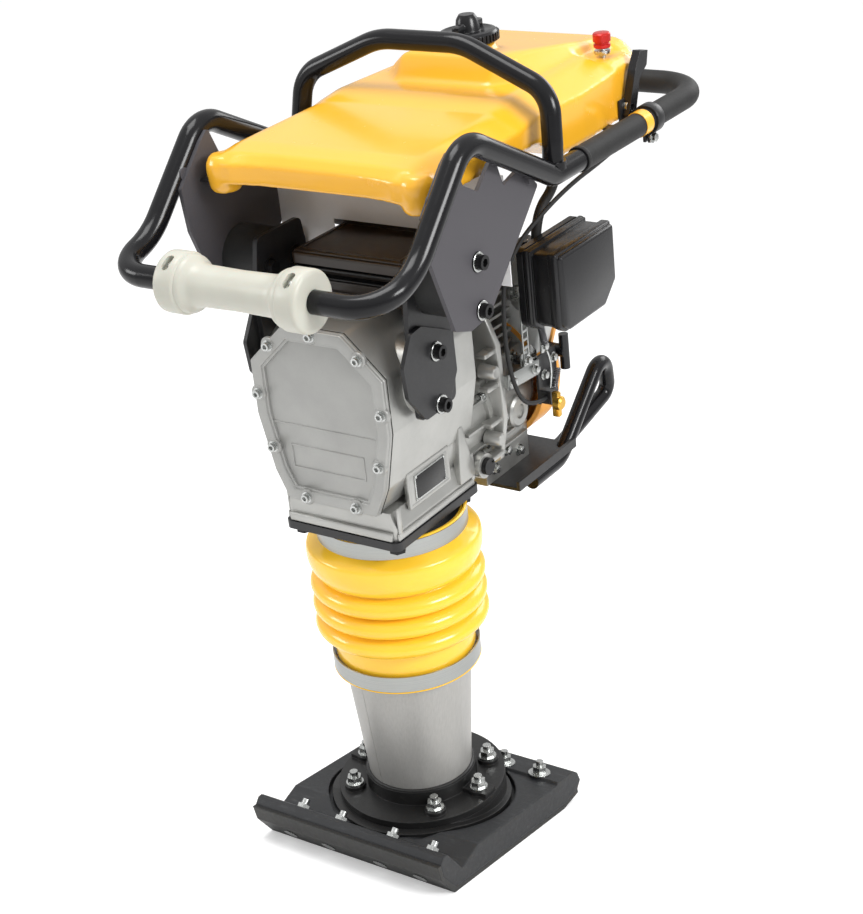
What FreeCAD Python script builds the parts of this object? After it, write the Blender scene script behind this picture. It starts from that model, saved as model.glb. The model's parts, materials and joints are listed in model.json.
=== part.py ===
import FreeCAD, Part
import math
import os
from types import SimpleNamespace

import Sketcher

# Vibratory tamping rammer.  Millimetres, +Z up, -Y is the front (transport roller), +Y the rear
# (engine and hand loop).  The origin is the middle of the sole on the ground.  Everything above
# the shoe is drawn square to the ramming leg, in the "machine" frame: its origin is the datum on
# the leg's centre line at the foot flange, and it leans forward by leg_tilt.

Vector = FreeCAD.Vector
Placement = FreeCAD.Placement
Rotation = FreeCAD.Rotation

SIZES = {
    # shoe, in ground axes
    "shoe_width": 270, "toe_reach": 166, "heel_reach": 158, "shoe_top": 41, "sole_plate": 6,
    "toe_flat": 130, "heel_flat": 118, "toe_lip_top": 57, "toe_slope": 28, "heel_slope": 14,
    "dish_radius": 116, "dish_depth": 9, "trough_depth": 12,
    "toe_bolt_inner": 38, "toe_bolt_outer": 95, "shoe_bolt_radius": 4.5,
    "heel_bolt_inner": 50, "heel_bolt_outer": 102, "heel_bolt_place": 112, "heel_strip": 3,
    # foot casting, clamp flange and leg
    "leg_tilt": 10, "foot_rise": 62, "foot_radius": 103, "foot_base": 111, "flange_plate": 9,
    "pad_rise": 5, "stud_circle": 84, "stud_radius": 5, "stud_depth": 11, "nut_height": 8,
    "collar_radius": 68, "collar_height": 18, "leg_foot_radius": 61.5, "leg_top_radius": 75.5,
    "leg_wall": 4, "leg_shoulder": 168, "leg_rim_radius": 84, "leg_rim_height": 22,
    # bellows and its bands
    "bellows_height": 128, "bellows_radius": 107, "bellows_waist": 97, "bellows_wall": 2.5,
    "fold_pitch": 21, "top_fold": 36, "band_wall": 1.6, "band_width": 19, "soft_gap": 0.3,
    # spring cylinder, guide and piston
    "cylinder_radius": 48, "cylinder_wall": 3, "cylinder_top": 338, "guide_wall": 8,
    "guide_foot": 236, "guide_clearance": 0.06, "piston_height": 24, "piston_level": 172,
    "piston_clearance": 0.06, "rod_radius": 11, "spring_wire": 4, "spring_radius": 36,
    "spring_turns": 5, "plug_height": 12,
    # crankcase
    "case_level": 385, "damper_plate": 10, "case_half": 75, "case_front": 91, "case_rear": 67,
    "base_height": 34, "case_wall": 7, "cover_front": 104, "cover_thickness": 9,
    "cover_foot_level": 419, "cover_foot_half": 60, "cover_wide_level": 560,
    "cover_wide_half": 89, "cover_shoulder_level": 584, "cover_top_level": 630,
    "cover_top_half": 40, "gasket": 1, "cover_screw_radius": 3, "cover_screw_inset": 6,
    "case_back": 70, "housing_radius": 74, "housing_back": 112,
    "drain_radius": 15, "drain_face": 84, "drain_place": 80, "drain_level": 403,
    "plug_radius": 7.8,
    # crank train
    "gear_level": 532, "gear_teeth": 60, "pinion_teeth": 14, "gear_module": 2.25,
    "gear_width": 16, "gear_front": 24, "crank_throw": 20, "rod_length": 108, "eye_radius": 17,
    "pin_radius": 8, "shaft_radius": 10, "running_gap": 0.05, "axial_gap": 0.5,
    # mounting of the handle
    "bracket_face": 97, "bracket_sheet": 6, "plate_sheet": 5, "mount_level": 668,
    "mount_place": -15, "mount_radius": 36, "side_plate_face": 155, "side_sheet": 5,
    "bracket_bolt_place": -28, "bracket_bolt_low": 531, "bracket_bolt_high": 593,
    "side_bolt_low": 640, "side_bolt_high": 694, "mount_bolt_radius": 5,
    # hand frame
    "rail_half": 172, "tube_radius": 12.5, "tube_wall": 2.5, "roller_place": -200,
    "roller_level": 711, "rise_place": -137, "rise_level": 730, "crest_place": -34,
    "crest_level": 833, "dip_place": 130, "rail_level": 745, "loop_end": 496,
    "hoop_half": 165, "hoop_radius": 11.5, "hoop_level": 831, "hoop_lean": 11,
    "hoop_crown": 877, "hoop_crown_half": 56,
    "sleeve_start": 187, "sleeve_wall": 1.6,
    # transport roller
    "roller_half": 92, "roller_body": 22, "roller_flange": 33, "roller_flange_width": 34,
    "roller_clearance": 0.1,
    # fuel tank
    "tank_half": 145, "tank_back_half": 132, "tank_front": 73, "tank_back": 420,
    "tank_front_low": 770, "tank_front_high": 803, "tank_deck": 820, "tank_floor": 742,
    "tank_knee": 204, "tank_wall": 4, "tank_chamfer": 32, "tank_corner": 36, "tank_foot": 10,
    "hump_front": 185, "hump_back": 410, "hump_top": 850, "hump_nose_half": 62,
    "hump_half": 97, "cap_level": 852, "cap_place": 248, "cap_radius": 36, "cap_height": 14,
    "cap_fin": 18, "neck_radius": 26, "vent_side": 110, "vent_place": 360, "vent_radius": 9,
    # engine
    "engine_half": 56, "engine_back": 216, "engine_foot": 352, "engine_deck": 500,
    "fin_half": 50, "fin_centre": 166, "fin_count": 7, "fin_pitch": 13, "fin_sheet": 3.5,
    "barrel_radius": 34, "head_height": 38, "recoil_radius": 84, "recoil_back": 268,
    "flywheel_radius": 66, "cleaner_face": 170, "cleaner_inner": 122, "cleaner_front": 134,
    "cleaner_back": 262, "cleaner_low": 553, "cleaner_high": 652, "cleaner_wall": 2.5,
    "carb_half": 17, "muffler_out": 128, "muffler_low": 548, "muffler_high": 632,
    "intake_half": 76, "intake_front": 27, "intake_back": 114, "intake_top": 684,
    # guard below the engine
    "guard_level": 348, "guard_half": 95, "guard_front": 130, "guard_back": 264,
    "guard_sheet": 4, "guard_lip": 12, "bar_radius": 10,
    # controls and lines
    "lever_place": 350, "lever_length": 48, "cable_radius": 2.6, "hose_radius": 6,
}

SHEET_NAME = "Sizes"
DOC = FreeCAD.newDocument("rammer")


class Size:
    """A size held both as a number and as the spreadsheet expression that gives it."""

    def __init__(self, number, text):
        self.number = float(number)
        self.text = text

    def joined(self, sign, other, number, flipped=False):
        other = size_of(other)
        first, last = (other, self) if flipped else (self, other)
        return Size(number, f"({first.text} {sign} {last.text})")

    def __add__(self, other):
        return self.joined("+", other, self.number + float(size_of(other)))

    __radd__ = __add__

    def __sub__(self, other):
        return self.joined("-", other, self.number - float(size_of(other)))

    def __rsub__(self, other):
        return self.joined("-", other, float(size_of(other)) - self.number, flipped=True)

    def __mul__(self, other):
        return self.joined("*", other, self.number * float(size_of(other)))

    __rmul__ = __mul__

    def __truediv__(self, other):
        return self.joined("/", other, self.number / float(size_of(other)))

    def __neg__(self):
        return 0 - self

    def __float__(self):
        return self.number


def size_of(thing):
    """Any number as a Size."""
    if isinstance(thing, Size):
        return thing
    return Size(thing, f"({float(thing):.9g})")


def make_sheet():
    """The spreadsheet of driving sizes; gives each one back as a Size under its own name."""
    sheet = DOC.addObject("Spreadsheet::Sheet", SHEET_NAME)
    for row, (alias, number) in enumerate(SIZES.items(), start=1):
        sheet.set(f"A{row}", alias)
        sheet.set(f"B{row}", str(number))
        sheet.setAlias(f"B{row}", alias)
    DOC.recompute()
    cells = {alias: Size(sheet.get(alias), f"{SHEET_NAME}.{alias}") for alias in SIZES}
    return SimpleNamespace(**cells)


d = make_sheet()
GROUND = Placement()
MACHINE = Placement(Vector(0, 0, float(d.foot_rise)), Rotation(Vector(1, 0, 0), float(d.leg_tilt)))
ALONG_X = Rotation(Vector(0, 1, 0), 90)
ALONG_Y = Rotation(Vector(1, 0, 0), -90)
ALONG_Z = Rotation()
SIDES = (-1, 1)
NODES = {}


# ---------------------------------------------------------------- document helpers

def bind(thing, **sizes):
    """Set properties of a document object and tie each one to the spreadsheet."""
    for name, size in sizes.items():
        size = size_of(size)
        setattr(thing, name, size.number)
        thing.setExpression(name, size.text)
    return thing


def put(thing, x, y, z, turn=ALONG_Z):
    """Place an object, its base point tied to the spreadsheet."""
    x, y, z = size_of(x), size_of(y), size_of(z)
    thing.Placement = Placement(Vector(x.number, y.number, z.number), turn)
    for axis, size in zip("xyz", (x, y, z)):
        thing.setExpression(f"Placement.Base.{axis}", size.text)
    return thing


def box(low, high):
    """A block between two corners."""
    block = DOC.addObject("Part::Box", "block")
    bind(block, Length=high[0] - size_of(low[0]), Width=high[1] - size_of(low[1]),
         Height=high[2] - size_of(low[2]))
    return put(block, *low)


def rod(radius, length, x, y, z, turn=ALONG_Z):
    """A cylinder from a point, along +Z unless turned."""
    bar = DOC.addObject("Part::Cylinder", "rod")
    bind(bar, Radius=radius, Height=length)
    return put(bar, x, y, z, turn)


def cone(low_radius, high_radius, length, x, y, z, turn=ALONG_Z):
    """A truncated cone from a point, along +Z unless turned."""
    taper = DOC.addObject("Part::Cone", "taper")
    bind(taper, Radius1=low_radius, Radius2=high_radius, Height=length)
    return put(taper, x, y, z, turn)


def hexagon(across_flats, height, x, y, z, turn=ALONG_Z):
    """A hexagonal prism, for nuts and bolt heads."""
    nut = DOC.addObject("Part::Prism", "hexagon")
    nut.Polygon = 6
    bind(nut, Circumradius=size_of(across_flats) / math.sqrt(3), Height=height)
    return put(nut, x, y, z, turn)


def fuse(*pieces):
    """One object from several."""
    if len(pieces) == 1:
        return pieces[0]
    joined = DOC.addObject("Part::MultiFuse", "joined")
    joined.Shapes = list(pieces)
    joined.Refine = True
    return joined


def cut(base, *tools):
    """A base with other objects taken away."""
    result = DOC.addObject("Part::Cut", "cut")
    result.Base = base
    result.Tool = tools[0] if len(tools) == 1 else fuse(*tools)
    result.Refine = True
    return result


def common(first, last):
    """What two objects share."""
    result = DOC.addObject("Part::Common", "common")
    result.Base = first
    result.Tool = last
    return result


def origin_plane(body, role):
    """One of a body's own origin planes."""
    return next(plane for plane in body.Origin.OriginFeatures if plane.Role == role + "_Plane")


def sketch_on(body, role, corners, offset=0):
    """A closed outline on one of the body's planes, each corner placed from the spreadsheet."""
    sketch = body.newObject("Sketcher::SketchObject", "outline")
    sketch.AttachmentSupport = (origin_plane(body, role), "")
    sketch.MapMode = "FlatFace"
    offset = size_of(offset)
    sketch.AttachmentOffset = Placement(Vector(0, 0, offset.number), Rotation())
    sketch.setExpression("AttachmentOffset.Base.z", offset.text)
    points = [(size_of(x), size_of(y)) for x, y in corners]
    count = len(points)
    for place, (x, y) in enumerate(points):
        after_x, after_y = points[(place + 1) % count]
        sketch.addGeometry(Part.LineSegment(Vector(float(x), float(y), 0),
                                            Vector(float(after_x), float(after_y), 0)))
    for place in range(count):
        sketch.addConstraint(Sketcher.Constraint("Coincident", place, 2, (place + 1) % count, 1))
    for place, (x, y) in enumerate(points):
        pin_down(sketch, place, "DistanceX", -2, x)
        pin_down(sketch, place, "DistanceY", -1, y)
    return sketch


def pin_down(sketch, line, kind, axis, size):
    """Fix one coordinate of a line's start; a zero lies on the axis itself."""
    if abs(size.number) < 1e-9:
        sketch.addConstraint(Sketcher.Constraint("PointOnObject", line, 1, axis))
        return
    mark = sketch.addConstraint(Sketcher.Constraint(kind, -1, 1, line, 1, size.number))
    sketch.setExpression(f"Constraints[{mark}]", size.text)


def new_body(name):
    """An empty body."""
    return DOC.addObject("PartDesign::Body", name)


def plate(role, corners, thickness, offset=0, midplane=False):
    """A padded outline on a plane of its own body."""
    body = new_body("plate")
    sketch = sketch_on(body, role, corners, offset)
    pad = body.newObject("PartDesign::Pad", "pad")
    pad.Profile = sketch
    pad.Midplane = midplane
    bind(pad, Length=thickness)
    sketch.Visibility = False
    body.Tip = pad
    DOC.recompute()
    return body


def turned(corners):
    """A turned body from an outline of (radius, height), about its own Z axis."""
    body = new_body("turned")
    sketch = sketch_on(body, "XZ", corners)
    revolution = body.newObject("PartDesign::Revolution", "revolution")
    revolution.Profile = sketch
    revolution.ReferenceAxis = (sketch, ["V_Axis"])
    revolution.Angle = 360
    body.Tip = revolution
    DOC.recompute()
    return body


def pipe(inner, outer, low, high):
    """A turned tube with square ends."""
    return turned([(inner, low), (outer, low), (outer, high), (inner, high)])


def rounded(body, radius, wanted):
    """Fillet those edges of a body that a test picks out."""
    tip = body.Tip
    names = [f"Edge{number}" for number, edge in enumerate(tip.Shape.Edges, start=1) if wanted(edge)]
    fillet = body.newObject("PartDesign::Fillet", "rounding")
    fillet.Base = (tip, names)
    bind(fillet, Radius=radius)
    body.Tip = fillet
    DOC.recompute()
    return body


def along(direction, test=None):
    """A test for straight edges that run along a direction, and pass a second test if given."""
    direction = Vector(*direction)

    def wanted(edge):
        if edge.Curve.TypeId != "Part::GeomLine":
            return False
        if abs(edge.tangentAt(edge.FirstParameter).dot(direction)) < 0.999:
            return False
        return test is None or test(edge.CenterOfMass)

    return wanted


def route(corners):
    """A path of straight runs joined by tangent arcs; each inner corner has its own radius."""
    edges = []
    start = Vector(*corners[0][:3])
    for place in range(1, len(corners) - 1):
        corner = Vector(*corners[place][:3])
        radius = corners[place][3]
        into = (corner - Vector(*corners[place - 1][:3])).normalize()
        out = (Vector(*corners[place + 1][:3]) - corner).normalize()
        half_turn = into.getAngle(out) / 2
        setback = radius * math.tan(half_turn)
        arc_start = corner - into * setback
        arc_end = corner + out * setback
        inward = (out - into).normalize()
        middle = corner + inward * (radius / math.cos(half_turn) - radius)
        edges.append(Part.LineSegment(start, arc_start).toShape())
        edges.append(Part.Arc(arc_start, middle, arc_end).toShape())
        start = arc_end
    edges.append(Part.LineSegment(start, Vector(*corners[-1][:3])).toShape())
    return Part.Wire(edges)


def swept(corners, radius):
    """A solid round bar along a route."""
    numbers = [tuple(float(size_of(value)) for value in corner) for corner in corners]
    path = route(numbers)
    start = path.Edges[0].Curve
    first = path.Edges[0].valueAt(path.Edges[0].FirstParameter)
    heading = path.Edges[0].tangentAt(path.Edges[0].FirstParameter)
    ring = Part.Wire([Part.Circle(first, heading, float(size_of(radius))).toShape()])
    return path.makePipeShell([ring], True, False)


def bent_tube(corners, outer, inner=None):
    """A bent bar or tube as a document object."""
    shape = swept(corners, outer)
    if inner is not None:
        shape = shape.cut(swept(corners, inner))
    feature = DOC.addObject("Part::Feature", "bent_tube")
    feature.Shape = shape
    return feature


def copies(source, places):
    """Separate copies of one finished object, each at its own placement."""
    DOC.recompute()
    shapes = []
    for place in places:
        shape = source.Shape.copy()
        shape.Placement = place.multiply(shape.Placement)
        shapes.append(shape)
    feature = DOC.addObject("Part::Feature", "copies")
    feature.Shape = Part.makeCompound(shapes)
    return feature


def at(x, y, z, turn=ALONG_Z):
    """A plain placement from sizes or numbers."""
    return Placement(Vector(float(size_of(x)), float(size_of(y)), float(size_of(z))), turn)


def compound(*pieces):
    """Several finished objects kept as separate solids."""
    DOC.recompute()
    feature = DOC.addObject("Part::Feature", "group")
    feature.Shape = Part.makeCompound([piece.Shape.copy() for piece in pieces])
    return feature


def node(name, thing, frame=MACHINE):
    """Name a finished sub-part and set it in its frame."""
    DOC.recompute()
    if thing.TypeId != "Part::Feature" and thing.Placement != Placement():
        thing = compound(thing)
    thing.Label = name
    thing.Placement = frame
    NODES[name] = thing


# ---------------------------------------------------------------- shared levels and places

leg_rim_top = d.leg_shoulder + d.leg_rim_height
bellows_top = leg_rim_top + d.bellows_height
damper_level = d.case_level - d.damper_plate
bellows_inner = d.leg_rim_radius + d.soft_gap
bellows_collar = bellows_inner + d.bellows_wall
band_inner = bellows_collar + d.soft_gap
gear_radius = d.gear_teeth * d.gear_module / 2
pinion_radius = d.pinion_teeth * d.gear_module / 2
shaft_level = d.gear_level - gear_radius - pinion_radius
wrist_level = d.gear_level - d.rod_length
dish_level = d.shoe_top - d.dish_depth
cylinder_bore = d.cylinder_radius - d.cylinder_wall
guide_bore = d.cylinder_radius + d.guide_clearance
rod_bore = d.rod_radius + d.piston_clearance
stud_angles = (0, 45, 135, 180, 225, 315)


def on_circle(radius, degrees):
    """A point on a circle about the leg, as sizes."""
    turn = math.radians(degrees)
    return size_of(radius) * round(math.cos(turn), 9), size_of(radius) * round(math.sin(turn), 9)


# ---------------------------------------------------------------- fasteners

def hex_bolt(radius, grip, across=None, washer=True):
    """A bolt along +Z with its head's seat at height zero and its shank below."""
    radius = size_of(radius)
    across = radius * 3.3 if across is None else size_of(across)
    head_low = radius * 0.35 if washer else size_of(0)
    pieces = [rod(radius, size_of(grip) + head_low, 0, 0, -size_of(grip)),
              hexagon(across, radius * 1.4, 0, 0, head_low)]
    if washer:
        pieces.append(rod(across * 0.68, head_low, 0, 0, 0))
    return fuse(*pieces)


def socket_bolt(radius, grip, flange=1.0):
    """A socket-head screw along +Z with a washer, its seat at height zero."""
    radius = size_of(radius)
    head = fuse(rod(radius, size_of(grip) + radius, 0, 0, -size_of(grip)),
                rod(radius * 1.6, radius * 1.9, 0, 0, 0),
                rod(radius * 2.2 * flange, radius * 0.35, 0, 0, 0))
    return cut(head, hexagon(radius * 1.7, radius * 1.2, 0, 0, radius * 1.0))


def stud_nut(radius, below, above, across):
    """A stud with its nut and washer, the washer's seat at height zero."""
    radius = size_of(radius)
    washer = radius * 0.45
    return fuse(rod(radius, size_of(below) + above, 0, 0, -size_of(below)),
                rod(size_of(across) * 0.68, washer, 0, 0, 0),
                hexagon(across, d.nut_height, 0, 0, washer))


# ---------------------------------------------------------------- shoe and foot

def shoe_outline():
    """The block's side view as (y, z); the toe lip stands above the deck, behind the plate."""
    inner_toe = d.toe_reach - d.sole_plate
    seat = d.toe_lip_top + 4
    return [(-(d.toe_flat - 3), d.sole_plate), (-(inner_toe - 6), d.toe_slope + 3),
            (-inner_toe, d.toe_lip_top - 9), (-(inner_toe - 5), d.toe_lip_top - 1),
            (-(inner_toe - 11), d.toe_lip_top), (-(inner_toe - 15), d.toe_lip_top - 2),
            (-(inner_toe - 44), seat - 35), (-(inner_toe - 50), d.shoe_top - d.trough_depth - 2),
            (-(inner_toe - 78), d.shoe_top), (d.heel_reach - 58, d.shoe_top),
            (d.heel_reach - 56, d.shoe_top + d.heel_strip),
            (d.heel_reach - 18, d.shoe_top + d.heel_strip),
            (d.heel_reach - 8, d.shoe_top - 3), (d.heel_reach, d.heel_slope + 11),
            (d.heel_reach - 6, d.heel_slope + 1), (d.heel_flat - 1, d.sole_plate)]


def toe_bolt_places():
    """Toe bolts stand square to the sloped toe; heel bolts stand upright."""
    lean = Rotation(Vector(1, 0, 0), -45)
    y = -(d.toe_reach - 43)
    z = d.toe_lip_top + 4 - 31 + 3
    return [at(side * reach, y, z, lean) for side in SIDES
            for reach in (d.toe_bolt_inner, d.toe_bolt_outer)]


def heel_bolt_places():
    z = d.shoe_top + d.heel_strip
    return [at(side * reach, d.heel_bolt_place, z) for side in SIDES
            for reach in (d.heel_bolt_inner, d.heel_bolt_outer)]


def make_shoe():
    block = plate("YZ", shoe_outline(), d.shoe_width, midplane=True)
    dish = rod(d.dish_radius, d.shoe_top, 0, 0, dish_level)
    hole = rod(d.shoe_bolt_radius + 0.2, 110, 0, 0, -70)
    heel_holes = copies(hole, heel_bolt_places())
    toe_hole = rod(d.shoe_bolt_radius + 0.2, 60, 0, 0, -30)
    toe_holes = copies(toe_hole, toe_bolt_places())
    node("shoe_block", cut(block, dish, heel_holes, toe_holes), GROUND)

    sheet = [(-d.toe_flat, 0), (-(d.toe_reach - 8), d.toe_slope), (-d.toe_reach, d.toe_lip_top - 9),
             (-(d.toe_reach - d.sole_plate), d.toe_lip_top - 9),
             (-(d.toe_reach - d.sole_plate - 6), d.toe_slope + 3),
             (-(d.toe_flat - 3), d.sole_plate), (d.heel_flat - 1, d.sole_plate),
             (d.heel_reach - 6, d.heel_slope + 1), (d.heel_reach - 4, d.heel_slope - 5),
             (d.heel_flat + 1, 0)]
    toe_clear = fuse(rod(d.shoe_bolt_radius + 0.2, 30, 0, 0, -50), cone(9.4, 5.6, 3.6, 0, 0, -29.4))
    node("sole_plate", cut(plate("YZ", sheet, d.shoe_width, midplane=True),
                           copies(toe_clear, toe_bolt_places())), GROUND)

    toe = fuse(stud_nut(d.shoe_bolt_radius, 26, 17, 14), cone(9, 5.5, 3.2, 0, 0, -29.2))
    heel = fuse(stud_nut(d.shoe_bolt_radius + 0.1, d.shoe_top + d.heel_strip - d.sole_plate, 17, 16),
                rod(14, 1.5, 0, 0, 0))
    node("shoe_bolts", compound(copies(toe, toe_bolt_places()), copies(heel, heel_bolt_places())),
         GROUND)


def make_foot():
    top = -d.flange_plate
    column = rod(d.foot_radius, 90, 0, 0, top - 90)
    column.Placement = MACHINE.multiply(column.Placement)
    for axis in "xyz":
        column.setExpression(f"Placement.Base.{axis}", None)
    below = box((-150, -150, -150), (150, 150, dish_level))
    base = rod(d.foot_base, 10, 0, 0, dish_level)
    over = rod(200, 200, 0, 0, top)
    over.Placement = MACHINE.multiply(over.Placement)
    for axis in "xyz":
        over.setExpression(f"Placement.Base.{axis}", None)
    stud_hole = rod(d.stud_radius + d.running_gap, d.stud_depth + 1, 0, 0, top - d.stud_depth)
    holes = copies(stud_hole, [at(*on_circle(d.stud_circle, angle), 0) for angle in stud_angles])
    holes.Placement = MACHINE
    node("foot_casting", cut(fuse(column, base), below, over, holes), GROUND)

    disc = pipe(d.cylinder_radius + 1, d.foot_radius, -d.flange_plate, 0)
    flare = (d.leg_top_radius - d.leg_foot_radius) / (d.leg_shoulder - 4)
    bore = d.leg_foot_radius + d.soft_gap
    collar = turned([(bore, -1), (d.collar_radius, -1), (d.collar_radius, d.collar_height),
                     (bore + flare * d.collar_height, d.collar_height)])
    pads = [rod(13, d.pad_rise + 1, *on_circle(d.stud_circle, angle), -1) for angle in stud_angles]
    bars = [box((side * (d.stud_circle - 1.5) - 18, -11, -1),
                (side * (d.stud_circle - 1.5) + 18, 11, d.pad_rise)) for side in SIDES]
    bolts = [rod(d.stud_radius + 0.4, 40, *on_circle(d.stud_circle, angle), -20)
             for angle in stud_angles]
    node("clamp_flange", cut(fuse(disc, collar, *pads, *bars), *bolts))

    stud = stud_nut(d.stud_radius, d.pad_rise + d.flange_plate + d.stud_depth - 1, 17, 16)
    node("foot_studs", copies(stud, [at(*on_circle(d.stud_circle, angle), d.pad_rise)
                                     for angle in stud_angles]))


def make_leg():
    top_inner = d.leg_rim_radius - d.leg_wall
    node("leg_sleeve", turned([
        (d.leg_foot_radius, 0), (d.leg_top_radius, d.leg_shoulder - 4),
        (d.leg_rim_radius, d.leg_shoulder), (d.leg_rim_radius, leg_rim_top),
        (top_inner, leg_rim_top), (top_inner, d.leg_shoulder + 4),
        (d.leg_top_radius - d.leg_wall, d.leg_shoulder - 2), (d.leg_foot_radius - d.leg_wall, 0)]))
    band_low = d.leg_shoulder + 2
    node("lower_band", pipe(band_inner, band_inner + d.band_wall, band_low,
                            band_low + d.band_width))

    floor = -d.flange_plate
    barrel = pipe(cylinder_bore, d.cylinder_radius, floor, d.cylinder_top)
    bottom = rod(cylinder_bore + 1, d.plug_height, 0, 0, floor)
    cap = pipe(rod_bore, cylinder_bore + 1, d.cylinder_top - d.plug_height, d.cylinder_top)
    node("spring_cylinder", fuse(barrel, bottom, cap))

    low_floor = floor + d.plug_height + d.soft_gap
    low_top = d.piston_level - d.piston_height / 2 - d.soft_gap
    high_floor = d.piston_level + d.piston_height / 2 + d.soft_gap
    high_top = d.cylinder_top - d.plug_height - d.soft_gap
    node("ram_springs", compound(coil(low_floor, low_top), coil(high_floor, high_top)))


def coil(low, high):
    """A round-wire spring between two seats."""
    wire = d.spring_wire
    rise = high - low - wire * 2
    pitch = rise / d.spring_turns
    helix = Part.makeHelix(float(pitch), float(rise), float(d.spring_radius))
    helix.translate(Vector(0, 0, float(low + wire)))
    start = Vector(float(d.spring_radius), 0, float(low + wire))
    heading = helix.Edges[0].tangentAt(helix.Edges[0].FirstParameter)
    ring = Part.Wire([Part.Circle(start, heading, float(wire)).toShape()])
    feature = DOC.addObject("Part::Feature", "coil")
    feature.Shape = Part.Wire(helix.Edges).makePipeShell([ring], True, True)
    return feature


def make_bellows():
    """Four folds of rubber, the top one the tallest, over two plain collars."""
    low = d.leg_shoulder - 3
    neck = leg_rim_top
    outer = [(bellows_collar, low), (bellows_collar, neck)]
    first = neck + 14
    outer.append((d.bellows_waist - 3, first))
    for fold in range(3):
        base = first + d.fold_pitch * fold
        outer.append((d.bellows_radius - 4, base + 5))
        outer.append((d.bellows_radius - 3, base + d.fold_pitch * 0.5))
        outer.append((d.bellows_radius - 4, base + d.fold_pitch - 5))
        outer.append((d.bellows_waist, base + d.fold_pitch))
    big = first + d.fold_pitch * 3
    outer += [(d.bellows_radius - 2, big + 7), (d.bellows_radius, big + d.top_fold * 0.5),
              (d.bellows_radius - 6, big + d.top_fold - 3), (bellows_collar, bellows_top)]
    outer.append((bellows_collar, bellows_top + d.band_width + 5))
    inner = [(radius - d.bellows_wall, level) for radius, level in reversed(outer)]
    node("bellows", turned(outer + inner))
    band_low = bellows_top + 3
    node("upper_band", pipe(band_inner, band_inner + d.band_wall, band_low,
                            band_low + d.band_width))


# ---------------------------------------------------------------- crankcase

def make_guide():
    """The guide cylinder hangs from the crankcase; the bellows' upper collar grips its neck."""
    guide_radius = d.cylinder_radius + d.guide_wall
    collar_inner = d.leg_rim_radius - 6
    collar_top = bellows_top + d.band_width + 9
    waist = d.leg_rim_radius - 12
    node("guide_cylinder", turned([
        (guide_bore, d.guide_foot), (guide_radius, d.guide_foot), (guide_radius, damper_level - 10),
        (waist - 7, damper_level - 10), (waist - 7, collar_top + 4), (collar_inner, collar_top - 4),
        (collar_inner, bellows_top), (d.leg_rim_radius, bellows_top), (d.leg_rim_radius, collar_top),
        (waist, collar_top + 6), (waist, damper_level), (guide_bore, damper_level)]))


def flange_bolt_places(level, turn=ALONG_Z):
    """The bolts near the four corners of the case's foot."""
    return [at(side * (d.case_half - 10), y, level, turn) for side in SIDES
            for y in (-(d.case_front - 12), d.case_rear - 12)]


def make_damper():
    half = d.case_half + 4
    slab = plate("XY", [(-half, -(d.case_front + 5)), (half, -(d.case_front + 5)),
                        (half, d.case_rear + 5), (-half, d.case_rear + 5)], d.damper_plate,
                 offset=damper_level)
    rounded(slab, 9, along((0, 0, 1)))
    passage = rod(d.rod_radius + 16, 60, 0, 0, damper_level - 20)
    holes = copies(rod(5.3, 60, 0, 0, -30), flange_bolt_places(damper_level))
    node("damper_plate", cut(slab, passage, holes))
    bolt = hex_bolt(5, d.damper_plate + 16, across=17)
    upside_down = Rotation(Vector(1, 0, 0), 180)
    node("damper_bolts", copies(bolt, flange_bolt_places(damper_level, upside_down)))


def cover_outline(shrink=0):
    """The front cover's outline as (x, z), drawn inwards by shrink."""
    shrink = size_of(shrink)
    right = [(d.cover_foot_half - shrink, d.cover_foot_level + shrink),
             (d.cover_foot_half + 15 - shrink, d.cover_foot_level + 34),
             (d.cover_wide_half - shrink, d.cover_wide_level - 40),
             (d.cover_wide_half - shrink, d.cover_shoulder_level - shrink * 0.4),
             (d.cover_top_half - shrink * 0.4, d.cover_top_level - shrink)]
    left = [(-x, z) for x, z in reversed(right)]
    return right + left


def cover_screw_places(y):
    """Nine screws round the cover's border."""
    inset = d.cover_screw_inset
    side_x = d.cover_wide_half - inset
    spots = [(size_of(0), d.cover_top_level - inset)]
    for side in SIDES:
        spots += [(side * (d.cover_top_half + 20), d.cover_top_level - 25),
                  (side * side_x, d.cover_wide_level - 15),
                  (side * (side_x - 11), d.cover_wide_level - 78),
                  (side * (d.cover_foot_half - 26), d.cover_foot_level + inset + 1)]
    out = Rotation(Vector(1, 0, 0), 90)
    return [at(x, y, z, out) for x, z in spots]


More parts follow.
